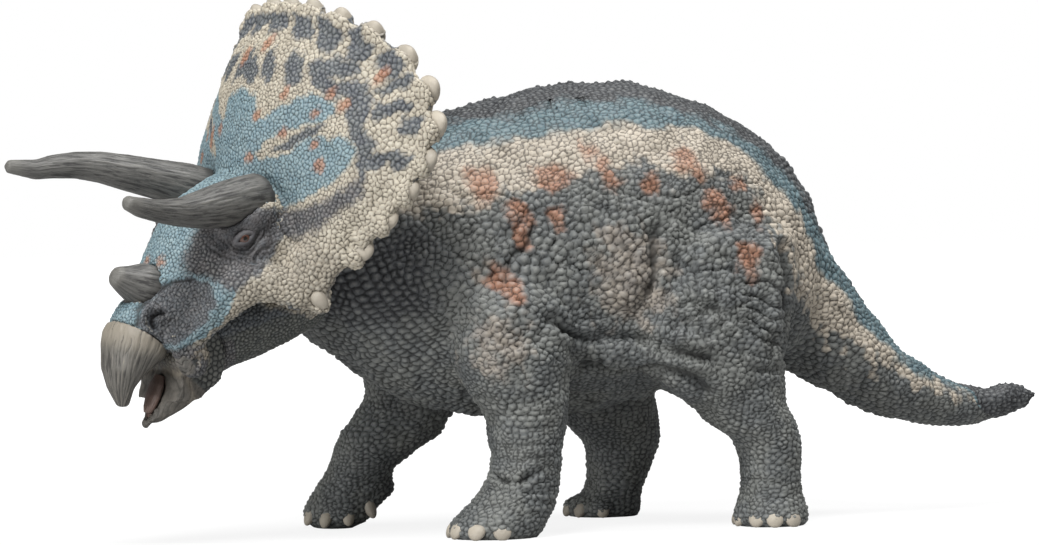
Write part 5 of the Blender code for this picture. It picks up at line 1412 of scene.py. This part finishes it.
# ---------------------------------------------------------------------------------------------
# Toenails: blunt pale hooves moulded on the toes, most of them on the outer side of each foot.
# Sizes in millimetres.
# ---------------------------------------------------------------------------------------------
# the middle of each foot, the places of its nails, and a nail's half sizes
TOES = (((-21, -22), ((-31.2, -24.0, 1.9), (-28.3, -29.4, 1.8), (-22.8, -31.4, 1.7),
                      (-30.2, -17.6, 1.8), (-24.6, -13.2, 1.7)), (2.15, 1.2, 2.0)),
        ((-41, 30.5), ((-49.2, 29.5, 3.0), (-46.9, 24.6, 2.6), (-42.0, 22.7, 3.0),
                       (-36.4, 22.8, 4.6), (-47.2, 35.0, 3.0)), (1.6, 1.3, 2.5)),
        ((48, -21.3), ((39.9, -21.6, 1.9), (42.0, -26.9, 1.9), (45.4, -29.5, 1.8),
                       (49.8, -29.8, 1.7), (41.6, -15.8, 1.8)), (2.1, 1.2, 2.0)),
        ((26, 30.7), ((18.2, 26.9, 1.8), (22.6, 23.2, 1.8), (17.2, 32.4, 1.8),
                      (20.0, 37.2, 1.8)), (1.75, 1.3, 1.9)))
spots = []
for middle, toes, size in TOES:
    for x, y, z in toes:
        outward = np.array((x - middle[0], y - middle[1], 0.0))
        outward /= np.linalg.norm(outward)
        leaning = outward * 0.5 + np.array((0, 0, -1.0))
        spots.append(((x, y, z), leaning, np.cross(outward, (0, 0, 1.0)), size))
nails = studs("toenails", spots, bone_paint, taper=0.12)
p = read(nails.data)
p[:, 2] = np.maximum(p[:, 2], 0.03)
write(nails.data, p)
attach(nails, "figure")

# ---------------------------------------------------------------------------------------------
# Studio: pale floor, soft light, and the camera at the photograph's height and side.
# ---------------------------------------------------------------------------------------------
floor_mesh = bpy.data.meshes.new("floor")
work = bmesh.new()
bmesh.ops.create_circle(work, cap_ends=True, segments=96, radius=3.0)
work.to_mesh(floor_mesh)
work.free()
floor = show("floor", floor_mesh)
floor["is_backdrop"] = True
paper = bpy.data.materials.new("floor_paper")
paper.use_nodes = True
nodes, links = paper.node_tree.nodes, paper.node_tree.links
shader = nodes["Principled BSDF"]
shader.inputs["Base Color"].default_value = (0.45, 0.45, 0.45, 1)
shader.inputs["Roughness"].default_value = 0.9
glow = nodes.new("ShaderNodeEmission")
glow.inputs["Color"].default_value = (1, 1, 1, 1)
glow.inputs["Strength"].default_value = 1.22
mix = nodes.new("ShaderNodeMixShader")
rays = nodes.new("ShaderNodeLightPath")
part = nodes.new("ShaderNodeMath")
part.operation = "MULTIPLY"
where = nodes.new("ShaderNodeTexCoord")
far = nodes.new("ShaderNodeVectorMath")
far.operation = "LENGTH"
links.new(where.outputs["Object"], far.inputs[0])
melt = range_node(paper.node_tree, far.outputs["Value"], 0.16, 0.5, 0.72, 1.0)
links.new(rays.outputs["Is Camera Ray"], part.inputs[0])
links.new(melt, part.inputs[1])
links.new(part.outputs[0], mix.inputs[0])
links.new(shader.outputs[0], mix.inputs[1])
links.new(glow.outputs[0], mix.inputs[2])
links.new(mix.outputs[0], nodes["Material Output"].inputs[0])
floor.data.materials.append(paper)

world = bpy.data.worlds.new("studio")
bpy.context.scene.world = world
world.use_nodes = True
nodes, links = world.node_tree.nodes, world.node_tree.links
soft = nodes["Background"]
soft.inputs["Color"].default_value = (1, 1, 1, 1)
soft.inputs["Strength"].default_value = 0.18
bright = nodes.new("ShaderNodeBackground")
bright.inputs["Color"].default_value = (1, 1, 1, 1)
bright.inputs["Strength"].default_value = 1.0
mix = nodes.new("ShaderNodeMixShader")
rays = nodes.new("ShaderNodeLightPath")
seen_by = nodes.new("ShaderNodeMath")
seen_by.operation = "MAXIMUM"
links.new(rays.outputs["Is Camera Ray"], seen_by.inputs[0])
links.new(rays.outputs["Is Transmission Ray"], seen_by.inputs[1])
links.new(seen_by.outputs[0], mix.inputs[0])
links.new(soft.outputs[0], mix.inputs[1])
links.new(bright.outputs[0], mix.inputs[2])
links.new(mix.outputs[0], nodes["World Output"].inputs[0])


def lamp(name, place, size, power):
    light = bpy.data.lights.new(name, "AREA")
    light.shape, light.size, light.energy = "DISK", size, power
    item = bpy.data.objects.new(name, light)
    bpy.context.scene.collection.objects.link(item)
    item.location = place
    item.rotation_mode = "QUATERNION"
    item.rotation_quaternion = (Vector(place) - Vector((0, 0, 0.05))).to_track_quat("Z", "Y")


lamp("key", (-0.44, -0.60, 1.10), 0.45, 15.8)
lamp("front", (-0.95, -0.36, 0.14), 0.4, 5.0)
lamp("top", (0.36, -0.10, 1.20), 0.6, 11.5)

TARGET, STAND_OFF, TILT = Vector((-0.00435, 0.00474, 0.06005)), 1.3, math.radians(-1)
AZIMUTH, ELEVATION = math.radians(-20), math.radians(1.5)
away = Vector((math.sin(AZIMUTH) * math.cos(ELEVATION), -math.cos(AZIMUTH) * math.cos(ELEVATION),
               math.sin(ELEVATION)))
lens = bpy.data.cameras.new("camera")
lens.sensor_width, lens.lens = 36, 191.43
lens.clip_start, lens.clip_end = 0.05, 20
camera = bpy.data.objects.new("camera", lens)
bpy.context.scene.collection.objects.link(camera)
camera.location = TARGET + away * STAND_OFF
camera.rotation_mode = "QUATERNION"
camera.rotation_quaternion = (away.to_track_quat("Z", "Y").to_matrix()
                              @ Matrix.Rotation(TILT, 3, "Z")).to_quaternion()
bpy.context.scene.camera = camera
bpy.context.scene.view_settings.view_transform = "Standard"

low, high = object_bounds()
